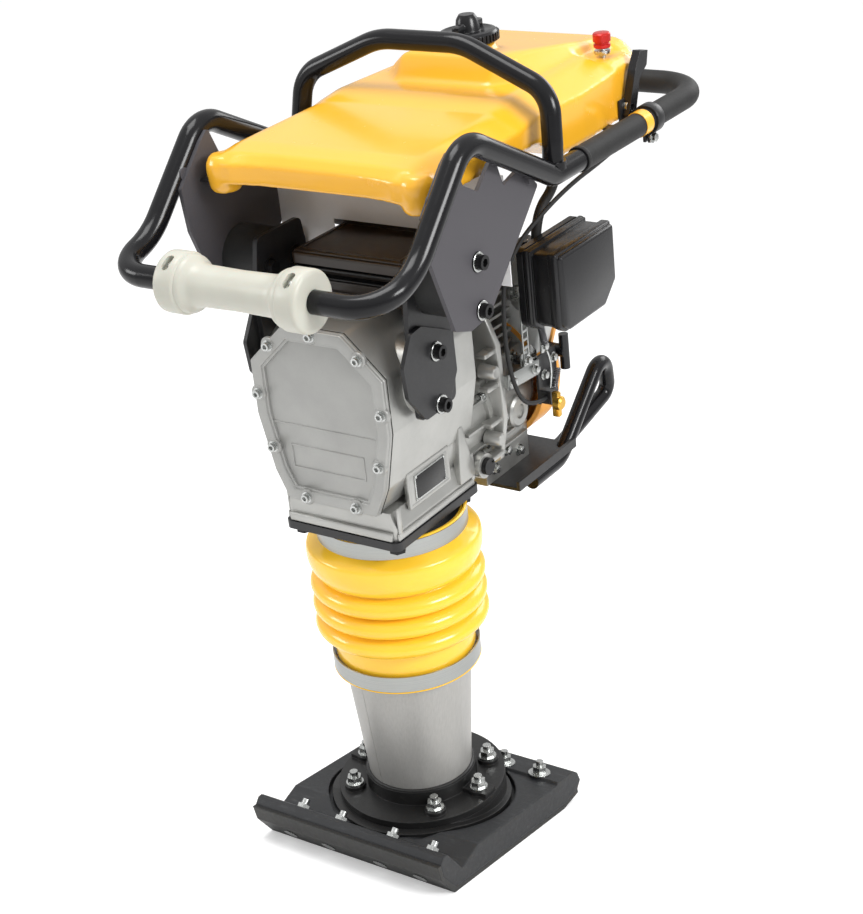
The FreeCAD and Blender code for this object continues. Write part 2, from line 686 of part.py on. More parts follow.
def make_crankcase():
    cover_back = d.cover_front - d.cover_thickness - d.gasket
    shell = plate("XZ", cover_outline(), cover_back + d.case_back, offset=-d.case_back)
    rounded(shell, 12, along((0, 1, 0)))
    foot = plate("XZ", [(-d.case_half, d.case_level), (d.case_half, d.case_level),
                        (d.case_half, d.case_level + 12),
                        (d.case_half - 6, d.case_level + d.base_height),
                        (-(d.case_half - 6), d.case_level + d.base_height),
                        (-d.case_half, d.case_level + 12)],
                 d.case_front + d.case_rear, offset=-d.case_rear)
    rounded(foot, 6, along((0, 0, 1)))
    housing = rod(d.housing_radius, d.housing_back - 20, 0, 20, shaft_level, ALONG_Y)
    flange = rod(d.housing_radius + 6, 8, 0, d.housing_back - 8, shaft_level, ALONG_Y)
    lugs = [rod(11, 14, *on_circle(d.housing_radius + 2, angle), 0) for angle in (35, 145, 215, 325)]
    lug_ring = copies(fuse(*lugs), [Placement(Vector(0, float(d.housing_back), float(shaft_level)),
                                              Rotation(Vector(1, 0, 0), 90))])
    bosses = [cone(46, 40, d.bracket_face - 62, side * 62, d.bracket_bolt_place,
                   (d.bracket_bolt_low + d.bracket_bolt_high) / 2,
                   ALONG_X if side > 0 else Rotation(Vector(0, 1, 0), -90)) for side in SIDES]
    cavity = plate("XZ", cover_outline(d.case_wall), cover_back + 60, offset=-60)
    passage = rod(d.rod_radius + 16, 120, 0, 0, d.case_level - 20)
    bearing = rod(24, 30, 0, 50, d.gear_level, ALONG_Y)
    pinion_way = rod(pinion_radius + 8, 60, 0, 50, shaft_level, ALONG_Y)
    clutch = rod(d.housing_radius - 8, 80, 0, d.case_back, shaft_level, ALONG_Y)
    screw_holes = copies(rod(d.cover_screw_radius, 30, 0, 0, -15), cover_screw_places(-cover_back))
    foot_holes = copies(rod(5, 40, 0, 0, -20), flange_bolt_places(d.case_level))
    bracket_holes = copies(rod(d.mount_bolt_radius, 40, 0, 0, -20), bracket_bolt_places(d.bracket_face))
    drain = rod(d.drain_radius, d.drain_face - 50, 50, d.drain_place, d.drain_level, ALONG_X)
    drain_hole = rod(d.plug_radius + 0.2, 20, d.drain_face - 14, d.drain_place, d.drain_level, ALONG_X)
    damper_room = box((-(d.case_half + 5), -(d.case_front + 6), damper_level - 20),
                      (d.case_half + 5, d.case_rear + 5.3, d.case_level))
    body = cut(fuse(shell, foot, housing, flange, lug_ring, *bosses, drain), damper_room)
    node("crankcase", cut(body, cavity, passage, bearing, pinion_way, clutch, screw_holes,
                          foot_holes, bracket_holes, drain_hole))
    node("oil_plug", fuse(rod(d.plug_radius, 14, d.drain_face - 13.8, d.drain_place, d.drain_level,
                              ALONG_X),
                          rod(d.plug_radius + 2.5, 6, d.drain_face, d.drain_place, d.drain_level,
                              ALONG_X)))

    gasket = plate("XZ", cover_outline(), d.gasket, offset=cover_back)
    opening = plate("XZ", cover_outline(d.case_wall), d.gasket + 4, offset=cover_back - 2)
    gasket_holes = copies(rod(d.cover_screw_radius + 0.3, 30, 0, 0, -15),
                          cover_screw_places(-cover_back))
    node("cover_gasket", cut(gasket, opening, gasket_holes))

    cover = plate("XZ", cover_outline(), d.cover_thickness, offset=cover_back + d.gasket)
    rounded(cover, 3, lambda edge: edge.BoundBox.YMax < -float(d.cover_front) + 0.01)
    panel = plate("XZ", cover_outline(16), 3, offset=d.cover_front - 1)
    rounded(panel, 1.5, lambda edge: edge.BoundBox.YMax < -float(d.cover_front) - 1.9)
    cover_holes = copies(rod(d.cover_screw_radius + 0.3, 30, 0, 0, -15),
                         cover_screw_places(-d.cover_front))
    node("gear_cover", cut(fuse(cover, panel), cover_holes))
    screw = socket_bolt(d.cover_screw_radius - d.running_gap, d.cover_thickness + 10)
    node("cover_screws", copies(screw, cover_screw_places(-d.cover_front)))


# ---------------------------------------------------------------- crank train

def gear_outline(teeth, radius, module, phase=0.0):
    """A spur gear's outline as (x, z): four points to each tooth."""
    corners = []
    for tooth in range(int(float(teeth))):
        for share, reach in ((-0.30, -1.15), (-0.13, 0.92), (0.13, 0.92), (0.30, -1.15)):
            turn = 2 * math.pi * (tooth + share + phase) / float(teeth)
            reach_out = float(radius) + reach * float(module)
            corners.append(Vector(reach_out * math.sin(turn), 0, reach_out * math.cos(turn)))
    return corners


def toothed_disc(teeth, radius, phase=0.0):
    """A gear blank with cut teeth, its front face at y = 0."""
    corners = gear_outline(teeth, radius, d.gear_module, phase)
    face = Part.Face(Part.makePolygon(corners + corners[:1]))
    feature = DOC.addObject("Part::Feature", "teeth")
    feature.Shape = face.extrude(Vector(0, float(d.gear_width), 0))
    return feature


def make_crank_train():
    disc = toothed_disc(d.gear_teeth, gear_radius)
    disc.Placement = at(0, d.gear_front, d.gear_level)
    gear_back = d.gear_front + d.gear_width
    hub = rod(d.shaft_radius + 6, 60 - gear_back - 1, 0, gear_back - 0.5, d.gear_level, ALONG_Y)
    axle = rod(d.shaft_radius, 78 - gear_back, 0, gear_back - 0.5, d.gear_level, ALONG_Y)
    weight = common(rod(gear_radius - 8, 4, 0, d.gear_front - 4, d.gear_level, ALONG_Y),
                    box((-60, d.gear_front - 4, d.gear_level - 60),
                        (60, d.gear_front, d.gear_level - d.crank_throw - 4)))
    eye_half = size_of(10)
    pin_level = d.gear_level + d.crank_throw
    stub = rod(d.pin_radius, d.gear_front - eye_half, 0, eye_half + 0.5, pin_level, ALONG_Y)
    node("crank_gear", fuse(disc, hub, axle, weight, stub))

    low_eye = wrist_level + d.crank_throw
    arm = box((-9, -8, low_eye - 12), (9, 8, pin_level))
    big_eye = rod(d.eye_radius + 4, eye_half * 2, 0, -eye_half, pin_level, ALONG_Y)
    small_eye = rod(d.eye_radius, 18, 0, -9, low_eye, ALONG_Y)
    pin_bore = rod(d.pin_radius + d.running_gap, 40, 0, -20, low_eye, ALONG_Y)
    node("con_rod", cut(fuse(arm, big_eye, small_eye), pin_bore))

    piston = rod(cylinder_bore - d.piston_clearance, d.piston_height, 0, 0,
                 d.piston_level - d.piston_height / 2)
    shank = rod(d.rod_radius, low_eye - 24 - d.piston_level, 0, 0, d.piston_level)
    fork = box((-12, -19, low_eye - 30), (12, 19, low_eye + 12))
    slot = box((-13, -9.6, low_eye - 20), (13, 9.6, low_eye + 13))
    wrist_pin = rod(d.pin_radius, 38, 0, -19, low_eye, ALONG_Y)
    node("piston_rod", fuse(piston, shank, cut(fork, slot), wrist_pin))

    pinion = toothed_disc(d.pinion_teeth, pinion_radius, phase=0.5)
    pinion.Placement = at(0, d.gear_front, shaft_level)
    neck = rod(d.shaft_radius, 78 - gear_back, 0, gear_back - 0.5, shaft_level, ALONG_Y)
    drum = cut(rod(d.housing_radius - 12, 28, 0, 76, shaft_level, ALONG_Y),
               rod(d.housing_radius - 15, 28, 0, 80, shaft_level, ALONG_Y))
    node("clutch_drum", fuse(pinion, neck, drum))
    bore = d.shaft_radius + d.running_gap
    node("shaft_bearings", compound(bearing_ring(bore, 24, 61, 68, d.gear_level),
                                    bearing_ring(bore, pinion_radius + 8, 61, 68, shaft_level)))


def bearing_ring(bore, outer, front, back, level):
    """A bearing between a shaft and its seat, along Y."""
    ring = pipe(bore, outer, 0, size_of(back) - front)
    ring.Placement = at(0, front, level, ALONG_Y)
    return ring


# ---------------------------------------------------------------- engine

def make_engine():
    front = d.housing_back
    case = box((-d.engine_half, front + 8, d.engine_foot), (d.engine_half, d.engine_back, d.engine_deck))
    face = rod(d.housing_radius + 4, 8, 0, front, shaft_level, ALONG_Y)
    bulge = rod(d.engine_half + 12, d.engine_back - front - 8, 0, front + 8, shaft_level, ALONG_Y)
    main_bore = rod(d.shaft_radius + d.running_gap, 300, 0, front - 20, shaft_level, ALONG_Y)
    chamber = rod(40, d.engine_back - front - 28, 0, front + 18, shaft_level, ALONG_Y)
    above = box((-80, front + 8, d.engine_deck), (80, d.engine_back, d.engine_deck + 30))
    node("engine_block", cut(fuse(case, face, bulge), main_bore, chamber, above))
    node("control_bracket", fuse(
        box((d.engine_half + 2.4, 190, d.engine_deck - 16), (95, 212, d.engine_deck - 13)),
        box((92, 190, d.engine_deck - 64), (95, 232, d.engine_deck - 4)),
        box((92, 190, d.engine_deck - 62), (110, 192.5, d.engine_deck - 46))))

    barrel = rod(d.barrel_radius, d.fin_count * d.fin_pitch + 2, 0, d.fin_centre, d.engine_deck)
    fins = [box((-d.fin_half, d.fin_centre - d.fin_half + 6, d.engine_deck + d.fin_pitch * (row + 0.4)),
                (d.fin_half, d.fin_centre + d.fin_half - 6,
                 d.engine_deck + d.fin_pitch * (row + 0.4) + d.fin_sheet))
            for row in range(int(float(d.fin_count)))]
    node("cylinder_fins", fuse(barrel, *fins))
    head_level = d.engine_deck + d.fin_count * d.fin_pitch + 2
    head = plate("XY", [(-48, d.fin_centre - 42), (48, d.fin_centre - 42), (48, d.fin_centre + 42),
                        (-48, d.fin_centre + 42)], d.head_height, offset=head_level)
    rounded(head, 12, along((0, 0, 1)))
    lid = plate("XY", [(-38, d.fin_centre - 32), (38, d.fin_centre - 32), (38, d.fin_centre + 32),
                       (-38, d.fin_centre + 32)], 16, offset=head_level + d.head_height)
    rounded(lid, 8, along((0, 0, 1)))
    plug_level = head_level + d.head_height / 2
    node("cylinder_head", fuse(cut(head, rod(5.2, 30, 0, d.fin_centre - 50, plug_level, ALONG_Y)), lid))
    node("spark_plug", fuse(rod(5, 26, 0, d.fin_centre - 52, plug_level, ALONG_Y),
                            rod(9, 20, 0, d.fin_centre - 64, plug_level, ALONG_Y)))
    return head_level


def make_shaft():
    front = d.housing_back
    length = d.engine_back + 26 - 84
    shaft = rod(d.shaft_radius, length, 0, 84, shaft_level, ALONG_Y)
    hub = rod(24, 18, 0, 84, shaft_level, ALONG_Y)
    shoes = cut(rod(d.housing_radius - 17, 16, 0, 84, shaft_level, ALONG_Y),
                box((-5, 80, shaft_level - 90), (5, 104, shaft_level - 26)),
                box((-5, 80, shaft_level + 26), (5, 104, shaft_level + 90)))
    throw = rod(30, 40, 0, front + 38, shaft_level, ALONG_Y)
    flywheel = rod(d.flywheel_radius, 14, 0, d.engine_back + 6, shaft_level, ALONG_Y)
    blade = box((-1.5, d.engine_back + 19, 34), (1.5, d.engine_back + 30, d.flywheel_radius - 3))
    fan = copies(blade, [Placement(Vector(0, 0, float(shaft_level)), Rotation(Vector(0, 1, 0), 30 * turn))
                         for turn in range(12)])
    node("crankshaft", fuse(shaft, hub, shoes, throw, flywheel, fan))

    back = d.recoil_back
    depth = back - d.engine_back
    shell = turned([(0, 0), (d.recoil_radius, 0), (d.recoil_radius, depth - 12),
                    (d.recoil_radius - 12, depth), (0, depth)])
    shell.Placement = at(0, d.engine_back, shaft_level, ALONG_Y)
    room = rod(d.recoil_radius - 6, depth - 12, 0, d.engine_back - 1, shaft_level, ALONG_Y)
    slot = box((-3, back - 14, 30), (3, back + 2, d.recoil_radius - 20))
    slot_ring = copies(slot, [Placement(Vector(0, 0, float(shaft_level)),
                                        Rotation(Vector(0, 1, 0), 24 * turn)) for turn in range(15)])
    rope_way = rod(5, 40, d.recoil_radius - 24, back - 24, shaft_level + 36, ALONG_X)
    node("recoil_housing", cut(shell, room, slot_ring, rope_way,
                               rod(5.1, 30, 0, back - 16, shaft_level, ALONG_Y)))
    pulley = cut(rod(26, 10, 0, d.engine_back + 28, shaft_level, ALONG_Y),
                 cut(rod(27, 5, 0, d.engine_back + 30.5, shaft_level, ALONG_Y),
                     rod(21, 5, 0, d.engine_back + 30.5, shaft_level, ALONG_Y)))
    node("starter_pulley", fuse(pulley, rod(5, depth - 30, 0, d.engine_back + 30, shaft_level, ALONG_Y)))


def make_breathing(head_level):
    """Air cleaner, carburettor and muffler, on either side of the cylinder head."""
    corners = [(d.cleaner_front, d.cleaner_low + 10), (d.cleaner_front + 14, d.cleaner_low),
               (d.cleaner_back - 30, d.cleaner_low), (d.cleaner_back, d.cleaner_low + 26),
               (d.cleaner_back, d.cleaner_high), (d.cleaner_front, d.cleaner_high)]
    depth = d.cleaner_face - d.cleaner_inner
    cover = plate("YZ", corners, depth, offset=d.cleaner_inner)
    rounded(cover, 9, along((1, 0, 0)))
    rounded(cover, 5, lambda edge: edge.BoundBox.XMin > float(d.cleaner_face) - 0.01)
    wall = d.cleaner_wall
    room = box((d.cleaner_inner - 1, d.cleaner_front + 12, d.cleaner_low + 14),
               (d.cleaner_face - wall * 2, d.cleaner_back - 14, d.cleaner_high - wall * 3))
    node("air_cleaner_cover", cut(cover, room))
    node("air_filter", box((d.cleaner_inner + d.soft_gap, d.cleaner_front + 14, d.cleaner_low + 18),
                           (d.cleaner_face - wall * 2 - 2, d.cleaner_back - 16,
                            d.cleaner_high - wall * 3 - 2)))
    carb_y = d.fin_centre + 22
    carb_z = head_level + d.head_height / 2
    base = plate("YZ", corners, 8, offset=d.cleaner_inner - 8)
    rounded(base, 9, along((1, 0, 0)))
    lug = box((d.cleaner_inner - 6, d.cleaner_back - 34, d.cleaner_low - 12),
              (d.cleaner_inner, d.cleaner_back - 16, d.cleaner_low + 14))
    node("air_cleaner_base", cut(fuse(base, lug), rod(12, 20, d.cleaner_inner - 12, carb_y, carb_z, ALONG_X)))

    half = d.carb_half
    block = box((62, carb_y - half, carb_z - half), (d.cleaner_inner - 8, carb_y + half, carb_z + half))
    bowl = rod(half - 1, 24, 80, carb_y, carb_z - half - 23)
    stub = rod(14, 16, 48, carb_y, carb_z, ALONG_X)
    node("carburettor", fuse(block, bowl, stub))
    node("throttle_arm", fuse(rod(3.5, 12, 92, carb_y, carb_z + half + 0.5),
                              box((88, carb_y - 5, carb_z + half + 8),
                                  (96, carb_y + 30, carb_z + half + 11))))
    node("choke_lever", fuse(rod(3.5, 6, 74, carb_y, carb_z + half + 0.5),
                             box((70, carb_y - 4, carb_z + half + 3),
                                 (78, carb_y + 36, carb_z + half + 6))))

    can = box((-d.muffler_out, d.fin_centre - 34, d.muffler_low), (-64, d.fin_centre + 50, d.muffler_high))
    stub_out = rod(9, 18, -100, d.fin_centre + 49, d.muffler_low + 16, ALONG_Y)
    pipe_in = rod(11, 16.7, -65, d.fin_centre, d.muffler_high - 20, ALONG_X)
    node("muffler", cut(fuse(can, stub_out, pipe_in), rod(7, 30, -100, d.fin_centre + 42,
                                                        d.muffler_low + 16, ALONG_Y)))


def make_intake():
    """The black box on top of the crankcase: a ribbed body under a lid."""
    low = d.cover_top_level - 6
    lid_level = d.intake_top - 12
    body = box((-(d.intake_half - 10), -(d.intake_front - 10), low),
               (d.intake_half - 10, d.intake_back - 10, lid_level))
    seat = box((-60, -60, low - 20), (60, d.case_back, d.cover_top_level))
    ribs = [box((-(d.intake_half - 7), -(d.intake_front - 7), low + 14 + 12 * row),
                (d.intake_half - 7, d.intake_back - 7, low + 17 + 12 * row)) for row in range(2)]
    lid = plate("XY", [(-d.intake_half, -d.intake_front), (d.intake_half, -d.intake_front),
                       (d.intake_half, d.intake_back), (-d.intake_half, d.intake_back)], 12,
                offset=lid_level)
    rounded(lid, 6, along((0, 0, 1)))
    rounded(lid, 3, lambda edge: edge.BoundBox.ZMin > float(d.intake_top) - 0.01)
    node("intake_box", fuse(cut(fuse(body, *ribs), seat), lid))


# ---------------------------------------------------------------- guard, brackets and mounts

def guard_bar_route(side):
    """One loop of guard bar: out from under the plate, up and back, round and down again."""
    level = d.guard_level - d.bar_radius - d.soft_gap
    back = d.guard_back
    return [(side * 82, back - 88, level), (side * 82, back - 19, level, 40),
            (side * 80, back + 104, level + 98, 24), (side * 72, back + 124, level + 33, 16),
            (side * 62, back + 20, level, 40), (side * 62, back - 64, level)]


def make_guard():
    sheet = plate("XY", [(-d.guard_half, d.guard_front), (d.guard_half, d.guard_front),
                         (d.guard_half, d.guard_back), (-d.guard_half, d.guard_back)],
                  d.guard_sheet, offset=d.guard_level)
    lips = [box((side * d.guard_half - 4 * (side > 0), d.guard_front, d.guard_level + 1),
                (side * d.guard_half + 4 * (side < 0), d.guard_back, d.guard_level + d.guard_lip))
            for side in SIDES]
    bar_ways = [bent_tube(guard_bar_route(side), d.bar_radius + d.soft_gap) for side in SIDES]
    node("guard_plate", cut(fuse(sheet, *lips), *bar_ways))
    bars = [bent_tube(guard_bar_route(side), d.bar_radius) for side in SIDES]
    node("guard_bar", compound(*bars))


def bracket_bolt_places(face):
    """Two bolts through each side bracket into the crankcase boss."""
    return [at(side * face, d.bracket_bolt_place, level, side_turn(side)) for side in SIDES
            for level in (d.bracket_bolt_low, d.bracket_bolt_high)]


def side_turn(side):
    """Turn +Z to point out of a side."""
    return Rotation(Vector(0, 1, 0), 90 * side)


def side_bolt_places(face):
    """Two bolts through each upper side plate into the rubber mount."""
    return [at(side * face, d.mount_place + 5, level, side_turn(side)) for side in SIDES
            for level in (d.side_bolt_low, d.side_bolt_high)]


def mirrored_plates(corners, face, sheet, rounding=8):
    """The same flat plate on both sides, its inner face at a distance from the middle."""
    made = []
    for side in SIDES:
        start = face if side > 0 else -(face + sheet)
        body = plate("YZ", corners, sheet, offset=start)
        rounded(body, rounding, along((1, 0, 0)))
        made.append(body)
    return fuse(*made)


def make_brackets():
    """On each side a bracket that carries the rubber mount, and a smaller plate bolted over it."""
    mount_low = d.mount_level - d.mount_radius
    corners = [(-62, d.bracket_bolt_low - 8), (8, d.bracket_bolt_low - 8), (18, mount_low),
               (30, d.mount_level), (24, d.mount_level + 38), (-54, d.mount_level + 38),
               (-62, d.mount_level), (-66, mount_low)]
    holes = copies(rod(d.mount_bolt_radius + 0.4, 60, 0, 0, -30), bracket_bolt_places(d.bracket_face))
    inner_holes = copies(rod(d.mount_bolt_radius + 0.4, 40, 0, 0, -20), inner_bolt_places())
    brackets = cut(mirrored_plates(corners, d.bracket_face, d.bracket_sheet), holes, inner_holes)
    place = d.bracket_bolt_place
    small = [(place - 57, d.bracket_bolt_high - 33), (place - 29, d.bracket_bolt_low - 7),
             (place + 17, d.bracket_bolt_low - 6), (place + 36, d.bracket_bolt_high - 36),
             (place + 35, d.bracket_bolt_high + 11), (place - 22, d.mount_level - d.mount_radius - 2),
             (place - 41, d.mount_level - d.mount_radius - 4), (place - 61, d.bracket_bolt_high + 3)]
    outer_face = d.bracket_face + d.bracket_sheet
    outer_plates = cut(mirrored_plates(small, outer_face, d.plate_sheet, 7), holes)
    node("mount_brackets", compound(brackets, outer_plates))
    outer = socket_bolt(d.mount_bolt_radius - d.running_gap, d.bracket_sheet + d.plate_sheet + 15)
    inner = hex_bolt(d.mount_bolt_radius - d.running_gap, d.bracket_sheet + 12, across=15)
    node("bracket_bolts", compound(copies(outer, bracket_bolt_places(outer_face + d.plate_sheet)),
                                   copies(inner, inner_bolt_places())))


def inner_bolt_places():
    """The bolts that hold each rubber mount's inner disc, set across the outer pair."""
    return [at(side * d.bracket_face, d.mount_place + across, d.mount_level, side_turn(-side))
            for side in SIDES for across in (-24, 24)]


def make_mounts():
    """A rubber drum between the chassis bracket and the handle's side plate on each side."""
    inner = d.bracket_face + d.bracket_sheet
    length = d.side_plate_face - inner
    drums = [rod(d.mount_radius, length - d.soft_gap, side * inner, d.mount_place, d.mount_level,
                 side_turn(side)) for side in SIDES]
    sockets = copies(rod(d.mount_bolt_radius + 0.6, 24, 0, 0, -24), side_bolt_places(d.side_plate_face))
    inner_holes = copies(rod(d.mount_bolt_radius, 15, 0, 0, -15), [
        at(side * inner, d.mount_place + across, d.mount_level, side_turn(-side))
        for side in SIDES for across in (-24, 24)])
    node("rubber_mounts", cut(fuse(*drums), sockets, inner_holes))


# ---------------------------------------------------------------- hand frame

def rail_points(side):
    """One side of the hand frame from the roller to the bend where it levels out."""
    x = side * d.rail_half
    return [(side * d.roller_half, d.roller_place, d.roller_level),
            (x, d.roller_place, d.roller_level, 40), (x, d.rise_place, d.rise_level, 90),
            (x, d.crest_place, d.crest_level, 40), (x, d.dip_place, d.rail_level, 24)]


def rail_space(side):
    """The room one rail takes up, from the roller well past the bend."""
    beyond = (side * d.rail_half, d.sleeve_start + 60, d.rail_level)
    return bent_tube(rail_points(side) + [beyond], d.tube_radius + d.running_gap)


def loop_points(start):
    """The rear loop, from a place on the right rail round to the same place on the left."""
    x = d.rail_half
    return [(x, start, d.rail_level), (x, d.loop_end, d.rail_level, 62),
            (-x, d.loop_end, d.rail_level, 62), (-x, start, d.rail_level)]


def make_frame():
    right = rail_points(1)
    left = list(reversed(rail_points(-1)))
    corners = right + loop_points(d.sleeve_start)[1:3] + left
    node("handle_frame", bent_tube(corners, d.tube_radius, d.tube_radius - d.tube_wall))
    snug = d.tube_radius + d.running_gap
    node("loop_sleeve", bent_tube(loop_points(d.sleeve_start), d.tube_radius + d.sleeve_wall, snug))

    foot_y = d.dip_place + 6
    foot_z = d.rail_level + d.tube_radius + 1
    inset = d.rail_half - 2
    top_y = foot_y + d.hoop_lean
    half = [(inset, foot_y, foot_z), (inset, foot_y + 2, foot_z + 20, 30),
            (d.hoop_half, top_y, d.hoop_level, 40),
            (d.hoop_crown_half, top_y + 4, d.hoop_crown, 90)]
    hoop = half + [(-corner[0], *corner[1:]) for corner in reversed(half)]
    feet = [rod(d.hoop_radius + 3, 9, side * inset, foot_y, foot_z - 8) for side in SIDES]
    bar = bent_tube(hoop, d.hoop_radius, d.hoop_radius - d.tube_wall)
    node("lift_hoop", cut(fuse(bar, *feet), *[rail_space(side) for side in SIDES]))


def side_plate_outline():
    """The upper side plate as (y, z), with its notches below the tube."""
    low = d.side_bolt_low
    return [(-33, low - 15), (5, low - 11), (118, d.rail_level - 8), (106, d.rail_level + 4),
            (78, d.rail_level + 19), (51, d.rail_level + 12), (39, d.rail_level + 45),
            (28, d.rail_level + 43), (2, d.rail_level + 21), (-24, d.rail_level + 36),
            (d.crest_place - 8, d.crest_level - 11), (d.crest_place - 22, d.crest_level - 21),
            (d.crest_place - 64, d.crest_level - 63), (-93, d.rail_level - 25), (-61, low - 5)]


def make_side_plates():
    plates = mirrored_plates(side_plate_outline(), d.side_plate_face, d.side_sheet, 3)
    holes = copies(rod(d.mount_bolt_radius + 0.3, 40, 0, 0, -20), side_bolt_places(d.side_plate_face))
    outer = d.side_plate_face + d.side_sheet
    reach = d.rail_half - outer - 5
    tab_places = ((d.crest_place - 50, d.crest_level - 50), (98, d.rail_level + 6))
    tabs = [rod(7, reach, side * (outer - 1), y, z, side_turn(side)) for side in SIDES
            for y, z in tab_places]
    node("side_plates", cut(fuse(plates, *tabs), holes, *[rail_space(side) for side in SIDES]))
    node("side_bolts", copies(socket_bolt(d.mount_bolt_radius, d.side_sheet + 16, 1.0),
                              side_bolt_places(outer)))


def make_roller():
    """Two half shells snapped together over the front bar."""
    length = d.roller_half * 2
    bore = d.tube_radius + d.roller_clearance
    body = rod(d.roller_body, length, -d.roller_half, d.roller_place, d.roller_level, ALONG_X)
    rims = [rod(d.roller_flange, d.roller_flange_width, side_start, d.roller_place, d.roller_level,
                ALONG_X) for side_start in (-d.roller_half, d.roller_half - d.roller_flange_width)]
    hole = rod(bore, length + 4, -d.roller_half - 2, d.roller_place, d.roller_level, ALONG_X)
    pockets = [rod(6, 30, side * (d.roller_half - d.roller_flange_width / 2), d.roller_place + across,
                   d.roller_level + 20) for side in SIDES for across in (-20, 20)]
    whole = cut(fuse(body, *rims), hole, *pockets)
    reach = d.roller_flange + 5
    edge = d.roller_half + 5
    parting = d.soft_gap / 2
    lower = box((-edge, d.roller_place - reach, d.roller_level - reach),
                (edge, d.roller_place + reach, d.roller_level - parting))
    upper = box((-edge, d.roller_place - reach, d.roller_level + parting),
                (edge, d.roller_place + reach, d.roller_level + reach))
    node("roller_halves", compound(common(whole, lower), common(whole, upper)))


# ---------------------------------------------------------------- tank and controls

def tank_side(shrink=0):
    """The tank's side view as (y, z), drawn inwards by shrink."""
    shrink = size_of(shrink)
    front = -(d.tank_front - shrink)
    floor = d.tank_floor + shrink
    return [(front, d.tank_front_low + shrink), (front, d.tank_front_high - shrink),
            (-(d.tank_front - 12 - shrink * 0.4), d.tank_front_high + 8 - shrink),
            (110, d.tank_deck - 4 - shrink), (d.tank_back - shrink, d.tank_deck - shrink),
            (d.tank_back - 6 - shrink, floor + 22), (d.tank_back - 34 - shrink * 0.5, floor),
            (d.tank_knee + shrink * 0.5, floor), (d.tank_knee - 36 + shrink * 0.5,
                                                  d.tank_front_low + shrink)]


def tank_plan(shrink=0):
    """The tank from above as (x, y), drawn inwards by shrink."""
    shrink = size_of(shrink)
    right = [(d.tank_half - shrink, -(d.tank_front - shrink)), (d.tank_half - shrink, 250),
             (d.tank_back_half - shrink, d.tank_back - shrink)]
    return right + [(-x, y) for x, y in reversed(right)]


def tank_chamfers(shrink=0):
    """What comes off the long upper edges, drawn inwards by shrink."""
    shrink = size_of(shrink)
    low = d.tank_deck - d.tank_chamfer * 0.55 - shrink
    return [plate("XZ", [(side * (d.tank_half - shrink * 0.4), low),
                         (side * (d.tank_half - d.tank_chamfer - shrink * 0.4), d.tank_deck - shrink),
                         (side * (d.tank_half - d.tank_chamfer - shrink * 0.4), d.tank_deck + 40),
                         (side * (d.tank_half + 20), d.tank_deck + 40), (side * (d.tank_half + 20), low)],
                  d.tank_back + d.tank_front + 40, offset=-(d.tank_back + 20)) for side in SIDES]


def tank_block(shrink=0):
    """The tank's main body, drawn inwards by shrink."""
    shrink = size_of(shrink)
    plan = plate("XY", tank_plan(shrink), 200, offset=d.tank_floor - 50)
    rounded(plan, d.tank_corner - shrink,
            along((0, 0, 1), lambda centre: centre.y > float(d.tank_back) - 20))
    rounded(plan, 20 - shrink, along((0, 0, 1), lambda centre: centre.y < 0))
    slab = common(plate("YZ", tank_side(shrink), d.tank_half * 2 + 10, midplane=True), plan)
    return cut(slab, *tank_chamfers(shrink))


def tank_hump(shrink=0):
    """The raised part under the cap, drawn inwards by shrink."""
    shrink = size_of(shrink)
    deep = d.tank_deck - 20
    side_view = [(d.hump_front + shrink, deep), (d.hump_front + shrink, d.tank_deck + 1 - shrink),
                 (d.hump_front + 20 + shrink * 0.5, d.hump_top - shrink),
                 (d.hump_back - shrink, d.tank_deck + 1 - shrink), (d.hump_back - shrink, deep)]
    nose = d.hump_nose_half - shrink
    half = d.hump_half - shrink
    front = d.hump_front + shrink
    plan = [(-nose, front), (nose, front), (half, d.hump_front + 34), (half, d.hump_back - shrink),
            (-half, d.hump_back - shrink), (-half, d.hump_front + 34)]
    return common(plate("YZ", side_view, d.hump_half * 2 + 10, midplane=True),
                  plate("XY", plan, 80, offset=d.tank_deck - 30))


def make_tank():
    outer_side = d.tank_half + 9.7
    front_stays = [rod(d.tank_foot, 14, side * (outer_side - 14), d.crest_place - 26, d.tank_deck - 34,
                       side_turn(side)) for side in SIDES]
    rear_stays = [rod(8, 40, side * 128, d.lever_place - 44, d.rail_level + 10, side_turn(side))
                  for side in SIDES]
    clear = [rod(d.tube_radius + d.sleeve_wall + d.soft_gap, 80, side * d.rail_half,
                 d.lever_place - 84, d.rail_level, ALONG_Y) for side in SIDES]
    neck = rod(d.neck_radius, 22, 0, d.cap_place, d.cap_level - 17)
    outer = cut(fuse(tank_block(), tank_hump(), neck, *front_stays, *rear_stays), *clear)
    filler = rod(d.neck_radius - 3, 60, 0, d.cap_place, d.cap_level - 50)
    vent_hole = rod(4.3, 20, d.vent_side, d.vent_place, d.tank_deck - 12)
    inner = fuse(tank_block(d.tank_wall), tank_hump(d.tank_wall))
    node("fuel_tank", cut(outer, inner, filler, vent_hole))


def make_cap():
    skirt = rod(d.cap_radius, d.cap_height, 0, d.cap_place, d.cap_level)
    room = rod(d.neck_radius + 0.3, 6.3, 0, d.cap_place, d.cap_level - 1)
    top = d.cap_level + d.cap_height
    fin = box((-7, d.cap_place - 26, top - 2), (7, d.cap_place + 26, top + d.cap_fin))
    node("fuel_cap", cut(fuse(skirt, fin), room))
    stem = rod(4, 22, d.vent_side, d.vent_place, d.tank_deck - 9)
    head = rod(d.vent_radius, 14, d.vent_side, d.vent_place, d.tank_deck + 10)
    node("vent_knob", fuse(stem, head))


